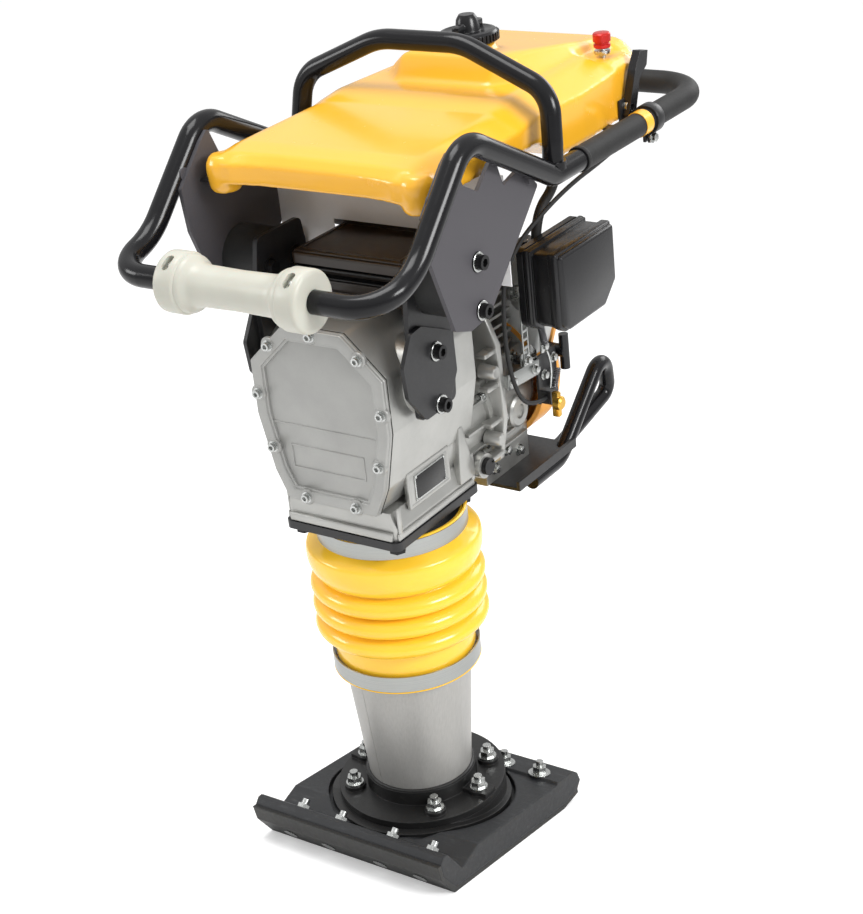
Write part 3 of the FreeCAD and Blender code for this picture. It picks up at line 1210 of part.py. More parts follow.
def make_controls():
    x = d.rail_half
    clamp = cut(box((x - 20, d.lever_place - 16, d.rail_level - 20),
                    (x + 19, d.lever_place + 16, d.rail_level + 20)),
                rod(d.tube_radius + d.sleeve_wall + d.running_gap, 60, x, d.lever_place - 30,
                    d.rail_level, ALONG_Y))
    pivot = rod(4, 13, x - 33, d.lever_place, d.rail_level + 12, ALONG_X)
    node("lever_bracket", fuse(clamp, pivot))
    lever = plate("YZ", [(d.lever_place - 9, d.rail_level + 4), (d.lever_place + 9, d.rail_level + 4),
                         (d.lever_place + 22, d.rail_level + 40),
                         (d.lever_place + 40, d.rail_level + 52),
                         (d.lever_place + 44, d.rail_level + 20 + d.lever_length),
                         (d.lever_place + 26, d.rail_level + 24 + d.lever_length),
                         (d.lever_place + 12, d.rail_level + 52)], 10, offset=x - 31)
    hole = rod(4 + d.running_gap, 30, x - 40, d.lever_place, d.rail_level + 12, ALONG_X)
    node("throttle_lever", cut(lever, hole))


def make_lines():
    inner = d.rail_half - 16
    cable_end = d.engine_deck - 54
    cable = [(inner, d.lever_place - 16.3, d.rail_level - 14),
             (inner, d.lever_place - 60, d.rail_level - 24, 30),
             (inner - 8, 180, d.rail_level - 38, 40), (116, 106, 650, 50), (108, 104, 560, 50),
             (108, 116, 490, 40), (105, 150, cable_end + 4, 30), (103, 189.7, cable_end)]
    node("throttle_cable", bent_tube(cable, d.cable_radius))
    hose_y = d.fin_centre + 24
    hose = [(112, hose_y + 50, d.tank_floor - d.soft_gap), (112, hose_y + 50, 700, 26),
            (106, hose_y, 672, 26), (106, hose_y, 629.5)]
    node("fuel_hose", bent_tube(hose, d.hose_radius))


def make_recoil_grip():
    y = d.recoil_back - 24
    level = shaft_level + 36
    handle = fuse(rod(8, 32, d.recoil_radius - 14, y, level, ALONG_X),
                  rod(6, 44, d.recoil_radius + 16, y, level - 22))
    node("starter_grip", cut(handle, rod(d.recoil_radius + d.soft_gap, 60, 0, y - 30, shaft_level,
                                         ALONG_Y)))


def write_parts():
    """Check every object and every sub-part, then write the sub-parts out."""
    DOC.recompute()
    failed = [f"{thing.Name} ({thing.Label}) is {thing.State}" for thing in DOC.Objects
              if "Invalid" in thing.State or "Error" in thing.State]
    if failed:
        raise RuntimeError("; ".join(failed))
    os.makedirs("parts", exist_ok=True)
    unsound = [name for name, thing in NODES.items()
               if thing.Shape.isNull() or not thing.Shape.isValid() or not thing.Shape.Solids]
    if unsound:
        raise RuntimeError(f"no sound shape: {unsound}")
    for name, thing in NODES.items():
        shape = thing.Shape
        shape.exportStep(f"parts/{name}.step")
        print(f"{name}: {len(shape.Solids)} solids, {shape.Volume / 1000:.1f} cm3")


def main():
    make_shoe()
    make_foot()
    make_leg()
    make_bellows()
    make_guide()
    make_damper()
    make_crankcase()
    make_crank_train()
    head_level = make_engine()
    make_shaft()
    make_breathing(head_level)
    make_intake()
    make_guard()
    make_brackets()
    make_mounts()
    make_frame()
    make_side_plates()
    make_roller()
    make_tank()
    make_cap()
    make_controls()
    make_lines()
    make_recoil_grip()
    write_parts()


main()
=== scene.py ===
import json
import math

import bmesh
import bpy
from mathutils import Matrix, Vector


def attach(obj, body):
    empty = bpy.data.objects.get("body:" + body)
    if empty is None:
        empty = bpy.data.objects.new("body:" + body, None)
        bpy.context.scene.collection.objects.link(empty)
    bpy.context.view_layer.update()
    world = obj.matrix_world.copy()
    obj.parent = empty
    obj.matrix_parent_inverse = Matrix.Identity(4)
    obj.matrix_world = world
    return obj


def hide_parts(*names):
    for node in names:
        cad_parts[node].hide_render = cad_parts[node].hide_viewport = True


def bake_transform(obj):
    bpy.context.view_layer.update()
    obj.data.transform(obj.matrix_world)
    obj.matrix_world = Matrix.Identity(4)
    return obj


bl_info = {
    "name": "Tamping Rammer Studio",
    "version": (1, 0, 0),
    "blender": (4, 5, 0),
    "location": "View3D > Sidebar > Rammer",
    "description": "Builds the finished look of a walk-behind tamping rammer around its CAD frame",
    "category": "Object",
}

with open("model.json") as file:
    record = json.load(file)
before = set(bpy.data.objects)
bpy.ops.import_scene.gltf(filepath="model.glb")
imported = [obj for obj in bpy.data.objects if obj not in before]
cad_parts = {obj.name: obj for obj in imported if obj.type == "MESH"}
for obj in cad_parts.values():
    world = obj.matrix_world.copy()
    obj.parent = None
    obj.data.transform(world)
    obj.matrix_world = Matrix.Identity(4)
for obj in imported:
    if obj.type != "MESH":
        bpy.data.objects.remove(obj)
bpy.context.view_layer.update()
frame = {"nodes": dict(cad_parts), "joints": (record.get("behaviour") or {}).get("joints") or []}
NODES = frame["nodes"]

# ---------------------------------------------------------------- the machine's leaning frame

MM = 0.001
LEG_AXIS = Vector(next(j["axis"] for j in frame["joints"] if j["name"] == "leg_stroke"))
LEAN = math.atan2(-LEG_AXIS.y, LEG_AXIS.z)
LEG_FOOT = 0.062          # height of the datum on the leg's centre line, in metres
MACHINE = Matrix.Translation((0, 0, LEG_FOOT)) @ Matrix.Rotation(LEAN, 4, "X") @ Matrix.Scale(MM, 4)
TO_MACHINE = MACHINE.inverted()
SIDES = (-1, 1)


def where(name):
    """Lowest and highest corner of a CAD node in the machine's leaning frame, in millimetres."""
    spots = [TO_MACHINE @ v.co for v in NODES[name].data.vertices]
    return (Vector([min(p[i] for p in spots) for i in range(3)]),
            Vector([max(p[i] for p in spots) for i in range(3)]))


# ---------------------------------------------------------------- node trees

class Value:
    """A number socket; arithmetic on it adds Math nodes to its tree."""

    def __init__(self, tree, socket):
        self.tree = tree
        self.socket = socket

    def math(self, operation, *others):
        return self.tree.add("ShaderNodeMath", {"operation": operation},
                             dict(enumerate((self,) + others)))

    def __add__(self, other):
        return self.math("ADD", other)

    def __sub__(self, other):
        return self.math("SUBTRACT", other)

    def __mul__(self, other):
        return self.math("MULTIPLY", other)

    def __truediv__(self, other):
        return self.math("DIVIDE", other)

    def __pow__(self, other):
        return self.math("POWER", other)

    def __rsub__(self, other):
        return self.tree.add("ShaderNodeMath", {"operation": "SUBTRACT"}, {0: other, 1: self})

    __radd__ = __add__
    __rmul__ = __mul__


class Tree:
    """A node tree of a finish or of a shape, built by one method."""

    def __init__(self, tree):
        self.tree = tree

    def add(self, kind, settings=None, inputs=None, output=0):
        """Add a node: its settings first, then the values or links of its sockets."""
        node = self.tree.nodes.new(kind)
        for name, value in (settings or {}).items():
            if name == "stops":
                self.set_stops(node.color_ramp.elements, value)
            else:
                setattr(node, name, value)
        for name, value in (inputs or {}).items():
            self.feed(node, name, value)
        return Value(self, node.outputs[output])

    def feed(self, node, name, value):
        """Set a socket to a plain value, or link it to one Value or to a list of them."""
        if isinstance(value, (Value, list)):
            for source in value if isinstance(value, list) else [value]:
                self.tree.links.new(source.socket, node.inputs[name])
        else:
            node.inputs[name].default_value = value

    @staticmethod
    def set_stops(elements, stops):
        while len(elements) < len(stops):
            elements.new(1.0)
        for element, (position, level) in zip(elements, stops):
            element.position = position
            element.color = (level, level, level, 1.0)


class Finish(Tree):
    """A surface finish: one shader, whose even values sit on its own sockets."""

    def __init__(self, name, even):
        self.material = bpy.data.materials.new(name)
        self.material.use_nodes = True
        super().__init__(self.material.node_tree)
        self.shader = self.tree.nodes["Principled BSDF"]
        for socket, value in even.items():
            self.shader.inputs[socket].default_value = value
        self.spot = self.add("ShaderNodeTexCoord", output="Object")

    def noise(self, scale, detail=3.0, rough=0.55, along=None):
        where_to = self.spot
        if along is not None:
            where_to = self.add("ShaderNodeMapping", {}, {"Vector": self.spot, "Scale": along})
        return self.add("ShaderNodeTexNoise", {}, {"Vector": where_to, "Scale": scale,
                                                   "Detail": detail, "Roughness": rough})

    def spangle(self, scale):
        return self.add("ShaderNodeTexVoronoi", {}, {"Vector": self.spot, "Scale": scale})

    def wear(self, low, high, *noise):
        """Patches where the noise is above low, full from high on."""
        return self.add("ShaderNodeValToRGB", {"stops": [(low, 0.0), (high, 1.0)]},
                        {"Fac": self.noise(*noise)})

    def streaks(self, scale):
        """Fine marks that run round the leg."""
        level = self.add("ShaderNodeVectorMath", {"operation": "DOT_PRODUCT"},
                         {0: self.spot, 1: tuple(LEG_AXIS)}, output="Value")
        return self.add("ShaderNodeTexNoise", {"noise_dimensions": "1D"},
                        {"W": level * scale, "Scale": 1.0, "Detail": 3.0})

    def pattern(self, row):
        """A mask by its row: a noise's numbers, or another mask's name and its numbers."""
        kind, *numbers = row if isinstance(row[0], str) else ("noise", *row)
        return getattr(self, kind)(*numbers)

    def paint(self, mask, first, second):
        """Base colour that goes from the first colour to the second by a mask."""
        mixed = self.add("ShaderNodeMix", {"data_type": "RGBA"},
                         {0: mask, 6: (*first, 1.0), 7: (*second, 1.0)}, output=2)
        self.feed(self.shader, "Base Color", mixed)

    def roughness(self, value):
        self.feed(self.shader, "Roughness", value)

    def relief(self, height, strength, distance, edge=0.0):
        """Fine relief, and a soft edge where the piece has sharp ones."""
        inputs = {"Height": height, "Strength": strength, "Distance": distance * MM}
        if edge:
            inputs["Normal"] = self.add("ShaderNodeBevel", {"samples": 4}, {"Radius": edge * MM})
        self.feed(self.shader, "Normal", self.add("ShaderNodeBump", {}, inputs))


def tone(colour):
    """A colour as it is, or a user's colour by its name, made lighter or darker."""
    if isinstance(colour[0], str):
        name, factor = colour
        colour = [min(1.0, level * factor) for level in getattr(bpy.context.scene.rammer_colours, name)]
    return tuple(colour)


MATERIALS = {}


def finish(name):
    """The material of that name, made when it is first asked for."""
    if name not in MATERIALS:
        row = FINISHES[name] if name in FINISHES else plain(*PLAIN[name])
        even, mask, first, second, (grain, least, spread), (height, *depth) = row
        made = Finish(name, even)
        made.paint(made.pattern(mask), tone(first), tone(second))
        made.roughness(made.pattern(grain) * spread + least)
        made.relief(made.pattern(height), *depth)
        MATERIALS[name] = made.material
    return MATERIALS[name]


# ---------------------------------------------------------------- finishes

METAL, SHINE, COAT, COAT_DULL = "Metallic", "Specular IOR Level", "Coat Weight", "Coat Roughness"
BLEED, BLEED_DEPTH = "Subsurface Weight", "Subsurface Scale"

# Each finish: even sockets, the mask between two colours, the colours, the roughness as its noise,
# its least value and its spread, and the relief as its pattern, strength, depth in mm and soft edge.
FINISHES = {
    # Rotomoulded polyethylene: deep glossy yellow with a faint ripple.
    "moulded_yellow": (
        {SHINE: 0.55, COAT: 0.35, COAT_DULL: 0.12}, (9, 3), ("tank", 0.93), ("tank", 1.05),
        ((60, 4), 0.19, 0.12), ((110, 2), 0.10, 0.35)),
    # Cast polyurethane: bright yellow, smooth and slightly waxy.
    "bellows_rubber": (
        {COAT: 0.3, COAT_DULL: 0.1, BLEED: 0.05, BLEED_DEPTH: 0.004}, (16, 2),
        ("bellows", 0.92), ("bellows", 1.03), ((90, 4), 0.16, 0.14), ((160, 2), 0.08, 0.3)),
    # Stoved black enamel on tube.
    "gloss_black": (
        {SHINE: 0.28}, (40, 3), (0.004, 0.004, 0.005), (0.008, 0.008, 0.009),
        ((130, 5), 0.13, 0.12), ((420, 3), 0.12, 0.12)),
    # Dark grey powder coat with a fine sandy texture.
    "powder_coat": (
        {SHINE: 0.35}, (1500, 2, 0.7), (0.040, 0.038, 0.043), (0.085, 0.081, 0.090),
        ((1500, 2, 0.7), 0.46, 0.2), ((1500, 2, 0.7), 0.35, 0.18, 0.7)),
    # Smooth black paint on pressed steel.
    "black_sheet": (
        {SHINE: 0.45}, (70, 3), (0.008, 0.008, 0.009), (0.016, 0.016, 0.017),
        ((240, 4), 0.28, 0.2), ((900, 2), 0.15, 0.1, 0.8)),
    # Die-cast aluminium under thin silver lacquer: soft grain and a patchy tone.
    "cast_alloy": (
        {METAL: 0.72}, (26, 5), (0.33, 0.33, 0.315), (0.47, 0.47, 0.45),
        ((300, 4), 0.24, 0.2), ((800, 3, 0.65), 0.28, 0.22, 1.6)),
    # The finer, slightly darker casting of the front cover.
    "cover_alloy": (
        {METAL: 0.6}, (22, 5), (0.29, 0.29, 0.28), (0.39, 0.39, 0.375),
        ((340, 4), 0.34, 0.16), ((1100, 3, 0.6), 0.2, 0.14, 0.8)),
    # Raw sand-cast aluminium of the engine, with oil-dark grain.
    "engine_alloy": (
        {METAL: 0.85}, (45, 5), (0.26, 0.26, 0.25), (0.50, 0.50, 0.48),
        ((700, 4, 0.7), 0.3, 0.25), ((700, 4, 0.7), 0.4, 0.3, 1.2)),
    # Satin silver-grey paint on the leg, with faint vertical drawing marks.
    "leg_grey": (
        {METAL: 0.45}, (60, 3, 0.6, (9, 9, 1)), (0.33, 0.325, 0.31), (0.44, 0.435, 0.42),
        ((200, 4), 0.32, 0.14), ((60, 3, 0.6, (9, 9, 1)), 0.12, 0.15, 0.8)),
    # Rolled zinc-plated strip.
    "brushed_zinc": (
        {METAL: 1.0}, ("streaks", 1600), (0.26, 0.27, 0.265), (0.46, 0.47, 0.455),
        ((120, 3), 0.24, 0.15), (("streaks", 1600), 0.2, 0.08)),
    # Bright zinc plate on fasteners.
    "zinc": (
        {METAL: 1.0}, ("spangle", 420), (0.38, 0.39, 0.38), (0.58, 0.59, 0.58),
        ((500, 3), 0.17, 0.18), ((900, 2), 0.15, 0.08, 0.4)),
    # Blackened high-strength steel.
    "black_bolt": (
        {METAL: 0.7}, (300, 3), (0.010, 0.010, 0.011), (0.03, 0.03, 0.031),
        ((600, 3), 0.3, 0.2), ((1200, 2), 0.2, 0.08, 0.4)),
    # Turned and ground steel of the inner parts.
    "machined_steel": (
        {METAL: 1.0}, (80, 4), (0.42, 0.42, 0.43), (0.62, 0.62, 0.63),
        ((900, 2), 0.2, 0.16), ((1500, 2), 0.15, 0.05, 0.3)),
    # Cast foot under black chassis paint, a little pitted and worn.
    "cast_black": (
        {SHINE: 0.45}, ("wear", 0.62, 0.78, 55, 6, 0.7), (0.010, 0.010, 0.010), (0.035, 0.034, 0.032),
        ((260, 4), 0.26, 0.25), ((600, 4, 0.65), 0.35, 0.3, 1.4)),
    # Laminated shoe block under satin black: long faint grain and scuffs.
    "shoe_black": (
        {SHINE: 0.4}, ("wear", 0.55, 0.8, 30, 6, 0.7, (1, 4, 4)), (0.016, 0.017, 0.019),
        (0.050, 0.052, 0.054), ((220, 4), 0.36, 0.24), ((90, 5, 0.6, (1, 5, 5)), 0.25, 0.4, 3.5)),
    # Hard sole plate, black on the lips and scraped on the ground.
    "sole_steel": (
        {METAL: 0.35}, ("wear", 0.6, 0.85, 40, 6, 0.75, (5, 1, 1)), (0.028, 0.028, 0.027),
        (0.09, 0.088, 0.082), ((180, 4), 0.36, 0.25), ((300, 4), 0.3, 0.25, 1.4)),
    # Moulded rubber with a dry sheen.
    "black_rubber": (
        {SHINE: 0.3}, (60, 4), (0.010, 0.010, 0.010), (0.022, 0.022, 0.022),
        ((400, 3), 0.5, 0.2), ((1300, 3), 0.25, 0.12, 0.8)),
    # Glossy injection-moulded plastic.
    "black_plastic": (
        {SHINE: 0.4}, (25, 3), (0.004, 0.004, 0.005), (0.009, 0.009, 0.010),
        ((150, 4), 0.16, 0.16), ((500, 2), 0.1, 0.1, 0.9)),
    # The intake lid's plastic: brownish black and satin.
    "brown_black": (
        {SHINE: 0.45}, (18, 3), (0.014, 0.009, 0.006), (0.030, 0.019, 0.012),
        ((160, 4), 0.24, 0.14), ((800, 2), 0.15, 0.1, 1.0)),
    # Cream nylon of the roller, with a soft shine.
    "cream_nylon": (
        {SHINE: 0.45, BLEED: 0.08, BLEED_DEPTH: 0.004}, (20, 3), (0.44, 0.435, 0.375),
        (0.53, 0.525, 0.46), ((140, 4), 0.27, 0.2), ((350, 3), 0.12, 0.2)),
}

# Small parts: two colours, metal, roughness and the scale of the grain.
PLAIN = {
    "cowl_grey": ((0.50, 0.51, 0.50), (0.60, 0.61, 0.60), 0.1, 0.34),
    "cowl_edge": ((0.80, 0.34, 0.05), (0.90, 0.42, 0.08), 0.0, 0.35),
    "shield_grey": ((0.66, 0.655, 0.66), (0.76, 0.755, 0.76), 0.1, 0.42, 300),
    "fuel_brass": ((0.62, 0.36, 0.05), (0.78, 0.48, 0.10), 0.9, 0.3),
    "knob_red": ((0.42, 0.010, 0.008), (0.60, 0.02, 0.015), 0.35, 0.25),
    "gear_steel": ((0.20, 0.20, 0.21), (0.34, 0.34, 0.35), 1.0, 0.3),
    "spring_steel": ((0.10, 0.10, 0.11), (0.20, 0.20, 0.21), 0.9, 0.32),
    "foam": ((0.62, 0.42, 0.16), (0.78, 0.56, 0.26), 0.0, 0.9, 900),
    "gasket": ((0.02, 0.02, 0.018), (0.05, 0.048, 0.04), 0.0, 0.7),
    "ceramic": ((0.74, 0.73, 0.70), (0.86, 0.85, 0.82), 0.0, 0.2),
    "rope": ((0.30, 0.29, 0.26), (0.62, 0.60, 0.54), 0.0, 0.8, 1400),
    "muffler_steel": ((0.16, 0.155, 0.15), (0.30, 0.29, 0.28), 0.8, 0.45, 260),
    "plate_black": ((0.008, 0.008, 0.008), (0.014, 0.014, 0.014), 0.2, 0.3),
}


def plain(first, second, metal, rough, grain=400):
    """A simple two-tone finish with fine grain, for small parts."""
    return ({METAL: metal}, (grain / 6, 4), first, second, ((grain, 3), rough - 0.08, 0.16),
            ((grain * 2, 2), 0.15, 0.1, 0.6))


CAD_FINISHES = {
    "gloss_black": ("handle_frame", "lift_hoop", "guard_bar"),
    "powder_coat": ("side_plates",),
    "black_sheet": ("guard_plate", "damper_plate", "control_bracket", "mount_brackets"),
    "black_rubber": ("loop_sleeve", "rubber_mounts"),
    "black_plastic": ("throttle_lever", "air_cleaner_base", "starter_grip", "throttle_arm",
                      "choke_lever"),
    "brown_black": ("intake_box",),
    "cast_alloy": ("crankcase",),
    "engine_alloy": ("engine_block", "cylinder_head", "cylinder_fins", "carburettor"),
    "cowl_edge": ("recoil_housing",),
    "leg_grey": ("leg_sleeve",),
    "zinc": ("foot_studs", "shoe_bolts", "cover_screws"),
    "black_bolt": ("side_bolts", "bracket_bolts", "damper_bolts", "oil_plug"),
    "cast_black": ("foot_casting", "clamp_flange"),
    "shoe_black": ("shoe_block",),
    "sole_steel": ("sole_plate",),
    "muffler_steel": ("muffler",),
    "machined_steel": ("spring_cylinder", "guide_cylinder", "piston_rod", "crankshaft",
                       "starter_pulley", "shaft_bearings"),
    "gear_steel": ("crank_gear", "con_rod", "clutch_drum"),
    "spring_steel": ("ram_springs",),
    "foam": ("air_filter",),
    "gasket": ("cover_gasket",),
    "ceramic": ("spark_plug",),
}


# ---------------------------------------------------------------- drawing pieces

def inset(outline, width):
    """A closed outline moved inwards; its points run anticlockwise."""
    moved = []
    for before, point, after in zip(outline[-1:] + outline[:-1], outline, outline[1:] + outline[:1]):
        first = (Vector(point) - Vector(before)).normalized()
        last = (Vector(after) - Vector(point)).normalized()
        inward = (Vector((-first.y, first.x)) + Vector((-last.y, last.x))).normalized()
        reach = width / max(0.3, inward.dot(Vector((-first.y, first.x))))
        moved.append(tuple(Vector(point) + inward * reach))
    return moved


def oblong(left, bottom, right, top):
    """A rectangle's outline; as a profile for lathe, a ring or a disc."""
    return [(left, bottom), (right, bottom), (right, top), (left, top)]


def flipped(profile, side):
    """A profile for lathe along an axis, turned to the left or right side."""
    return [(radius, height * side) for radius, height in profile]


def mirrored(half):
    """A closed outline from its right half, which runs anticlockwise from the bottom."""
    return list(half) + [(-x, y) for x, y in reversed(half)]


def link(name, data):
    """Put a mesh, a lamp or a camera in the scene."""
    obj = bpy.data.objects.new(name, data)
    bpy.context.scene.collection.objects.link(obj)
    return obj


def smooth_line(points, radius=0.0, sides=4):
    """The mesh of one NURBS line through control points: a bare line, or a round tube."""
    curve = bpy.data.curves.new("line", "CURVE")
    curve.dimensions = "3D"
    curve.bevel_depth = radius
    curve.bevel_resolution = sides
    curve.use_fill_caps = radius > 0
    line = curve.splines.new("NURBS")
    line.points.add(len(points) - 1)
    for spot, point in zip(line.points, points):
        spot.co = (*point, 1)
    line.order_u = 3
    line.use_endpoint_u = True
    line.resolution_u = 10
    holder = bpy.data.objects.new("line", curve)
    made = bpy.data.meshes.new_from_object(holder)
    bpy.data.objects.remove(holder)
    return made


AXES = {"X": Matrix(((0, 0, 1), (1, 0, 0), (0, 1, 0))), "Y": Matrix(((1, 0, 0), (0, 0, 1), (0, 1, 0))),
        "Z": Matrix.Identity(3)}


class Shape:
    """Parts drawn in the machine's frame, in millimetres, that become one piece."""

    def __init__(self):
        self.mesh = bmesh.new()

    def take(self, points, faces, edge=0.0, segments=2):
        """Add a closed part, with its sharp edges rounded."""
        part = bmesh.new()
        verts = [part.verts.new(p) for p in points]
        for face in faces:
            part.faces.new([verts[i] for i in face])
        return self.close(part, edge, segments)

    def close(self, part, edge=0.0, segments=2):
        """Merge a part's doubles, turn its faces outwards, round its edges and add it."""
        bmesh.ops.remove_doubles(part, verts=part.verts, dist=1e-4)
        bmesh.ops.dissolve_degenerate(part, edges=part.edges, dist=1e-5)
        bmesh.ops.recalc_face_normals(part, faces=part.faces)
        if edge:
            sharp = [e for e in part.edges if e.is_manifold and e.calc_face_angle() > 0.5]
            bmesh.ops.bevel(part, geom=sharp, offset=edge, segments=segments, profile=0.5,
                            affect="EDGES", clamp_overlap=True)
        made = bpy.data.meshes.new("part")
        part.to_mesh(made)
        part.free()
        self.mesh.from_mesh(made)
        bpy.data.meshes.remove(made)
        return self

    def prism(self, outline, low, high, axis="Z", edge=0.0, inner=None, segments=2):
        """An outline drawn out along an axis, from low to high, with a matching inner one cut out."""
        turn = AXES[axis]
        loops = [outline] if inner is None else [outline, inner]
        points = [turn @ Vector((u, v, level)) for loop in loops for level in sorted((low, high))
                  for u, v in loop]
        n = len(outline)
        faces = [(i, (i + 1) % n, n + (i + 1) % n, n + i) for i in range(n)]
        if inner is None:
            faces += [tuple(range(n)), tuple(range(n, 2 * n))]
        else:
            faces += [(2 * n + i, 2 * n + (i + 1) % n, 3 * n + (i + 1) % n, 3 * n + i) for i in range(n)]
            for start in (0, n):
                faces += [(start + i, start + (i + 1) % n, 2 * n + start + (i + 1) % n,
                           2 * n + start + i) for i in range(n)]
        return self.take(points, faces, edge, segments)

    def box(self, corner, opposite, edge=0.0):
        (left, right), (front, back), levels = map(sorted, zip(corner, opposite))
        return self.prism(oblong(left, front, right, back), *levels, edge=edge)

    def lathe(self, profile, centre=(0, 0, 0), axis="Z", sides=64):
        """A closed profile of (radius, height) turned about an axis."""
        turn = AXES[axis]
        middle = Vector(centre)
        points = []
        for step in range(sides):
            angle = math.tau * step / sides
            points += [middle + turn @ Vector((r * math.cos(angle), r * math.sin(angle), h))
                       for r, h in profile]
        n = len(profile)
        faces = []
        for step in range(sides):
            here, there = step * n, (step + 1) % sides * n
            for i in range(n):
                j = (i + 1) % n
                if profile[i][0] > 1e-6 or profile[j][0] > 1e-6:
                    faces.append((here + i, here + j, there + j, there + i))
        return self.take(points, faces)

    def tube(self, points, radius, sides=4):
        """A round rod, cable or hose through points, smooth between them."""
        part = bmesh.new()
        made = smooth_line(points, radius, sides)
        part.from_mesh(made)
        bpy.data.meshes.remove(made)
        return self.close(part)

    def drawn(self, name):
        """Close the drawing and give its mesh, still in the machine's frame."""
        mesh = bpy.data.meshes.new(name)
        self.mesh.to_mesh(mesh)
        self.mesh.free()
        return mesh

    def piece(self, name, look, body=None, slot=None, stands_for=(), soft_angle=35):
        """Close the drawing: one object at the origin, its place in its mesh."""
        mesh = self.drawn(name)
        mesh.transform(MACHINE)
        return settle(mesh, name, look, body, stands_for, soft_angle)


def settle(mesh, name, look, body, stands_for=(), soft_angle=35):
    """Link a finished mesh as a piece, with its look, its body and the nodes it stands for."""
    mesh.name = name
    mesh.materials.clear()
    mesh.materials.append(finish(look))
    mesh.shade_smooth()
    mesh.set_sharp_from_angle(angle=math.radians(soft_angle))
    obj = link(name, mesh)
    if stands_for:
        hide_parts(*stands_for)
    if body:
        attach(obj, body)
    return obj


def evaluated(obj):
    """The plain mesh that an object's modifiers give; the object itself is removed."""
    bpy.context.view_layer.update()
    seen = obj.evaluated_get(bpy.context.evaluated_depsgraph_get())
    mesh = bpy.data.meshes.new_from_object(seen)
    old = obj.data
    bpy.data.objects.remove(obj)
    if isinstance(old, bpy.types.Mesh):
        bpy.data.meshes.remove(old)
    return mesh


# ---------------------------------------------------------------- shapes made by Geometry Nodes

class Pattern(Tree):
    """A Geometry Nodes tree with named sizes, which ends in Realize Instances and Set Material."""

    def __init__(self, name, **sizes):
        group = bpy.data.node_groups.new(name, "GeometryNodeTree")
        super().__init__(group)
        face = group.interface
        face.new_socket("Geometry", in_out="INPUT", socket_type="NodeSocketGeometry")
        face.new_socket("Geometry", in_out="OUTPUT", socket_type="NodeSocketGeometry")
        for size, default in sizes.items():
            kind = "NodeSocketInt" if isinstance(default, int) else "NodeSocketFloat"
            socket = face.new_socket(size, in_out="INPUT", socket_type=kind)
            socket.default_value = default
        self.entry = group.nodes.new("NodeGroupInput")
        self.exit = group.nodes.new("NodeGroupOutput")

    def size(self, name):
        return Value(self, self.entry.outputs[name])

    def finish(self, geometry, look):
        real = self.add("GeometryNodeRealizeInstances", {}, {"Geometry": geometry})
        painted = self.add("GeometryNodeSetMaterial", {}, {"Geometry": real, "Material": finish(look)})
        self.feed(self.exit, "Geometry", painted)

    def grow(self, name, points=((0, 0, 0),), ways=None, **sizes):
        """Run the tree on points of the machine's frame and give the plain mesh."""
        mesh = bpy.data.meshes.new(name)
        mesh.from_pydata([tuple(p) for p in points], [], [])
        if ways:
            way = mesh.attributes.new("way", "FLOAT_VECTOR", "POINT")
            way.data.foreach_set("vector", [v for w in ways for v in w])
        obj = link(name, mesh)
        modifier = obj.modifiers.new("pattern", "NODES")
        modifier.node_group = self.tree
        for socket in self.tree.interface.items_tree:
            if socket.in_out == "INPUT" and socket.name in sizes:
                modifier[socket.identifier] = sizes[socket.name]
        made = evaluated(obj)
        made.transform(MACHINE)
        return made


def bolt_pattern(look):
    """A hexagon head on a round washer, at each point and turned along its way."""
    made = Pattern("bolts", Head=8.0, Height=6.0, Washer=11.0, Sheet=2.0)
    washer = made.add("GeometryNodeMeshCylinder", {}, {
        "Vertices": 24, "Radius": made.size("Washer"), "Depth": made.size("Sheet")})
    head = made.add("GeometryNodeMeshCylinder", {}, {
        "Vertices": 6, "Radius": made.size("Head"), "Depth": made.size("Height")})
    crown = made.add("GeometryNodeMeshCone", {}, {
        "Vertices": 6, "Radius Top": made.size("Head") * 0.72, "Radius Bottom": made.size("Head"),
        "Depth": made.size("Head") * 0.14})
    rise = made.size("Height") + made.size("Sheet")
    parts = []
    for part, level in ((washer, made.size("Sheet") * 0.5), (head, rise - made.size("Height") * 0.5),
                        (crown, rise)):
        lift = made.add("ShaderNodeCombineXYZ", {}, {"Z": level})
        parts.append(made.add("GeometryNodeTransform", {}, {"Geometry": part, "Translation": lift}))
    joined = made.add("GeometryNodeJoinGeometry", {}, {"Geometry": parts})
    way = made.add("GeometryNodeInputNamedAttribute", {"data_type": "FLOAT_VECTOR"}, {"Name": "way"})
    turn = made.add("FunctionNodeAlignRotationToVector", {"axis": "Z"}, {"Vector": way})
    copies = made.add("GeometryNodeInstanceOnPoints", {}, {
        "Points": Value(made, made.entry.outputs["Geometry"]), "Instance": joined, "Rotation": turn})
    made.finish(copies, look)
    return made


def bolts(name, body, spots, ways, head, height, washer, sheet):
    """A piece of zinc-plated bolts, which all point one way or each its own."""
    ways = ways if isinstance(ways, list) else [ways] * len(spots)
    made = bolt_pattern("zinc").grow(name, spots, ways, Head=head, Height=height, Washer=washer, Sheet=sheet)
    settle(made, name, "zinc", body)


def ring_pattern(look):
    """Small upright blocks set round a circle, such as ribs, knurls or louvres."""
    made = Pattern("ring_of_ribs", Count=24, Radius=36.0, Length=3.0, Width=2.0, Height=10.0)
    circle = made.add("GeometryNodeMeshCircle", {}, {
        "Vertices": made.size("Count"), "Radius": made.size("Radius")})
    block = made.add("GeometryNodeMeshCube", {}, {"Size": made.add("ShaderNodeCombineXYZ", {}, {
        "X": made.size("Length"), "Y": made.size("Width"), "Z": made.size("Height")})})
    spot = made.add("GeometryNodeInputPosition")
    turn = made.add("FunctionNodeAlignRotationToVector", {"axis": "X"}, {"Vector": spot})
    copies = made.add("GeometryNodeInstanceOnPoints", {}, {
        "Points": circle, "Instance": block, "Rotation": turn})
    made.finish(copies, look)
    return made


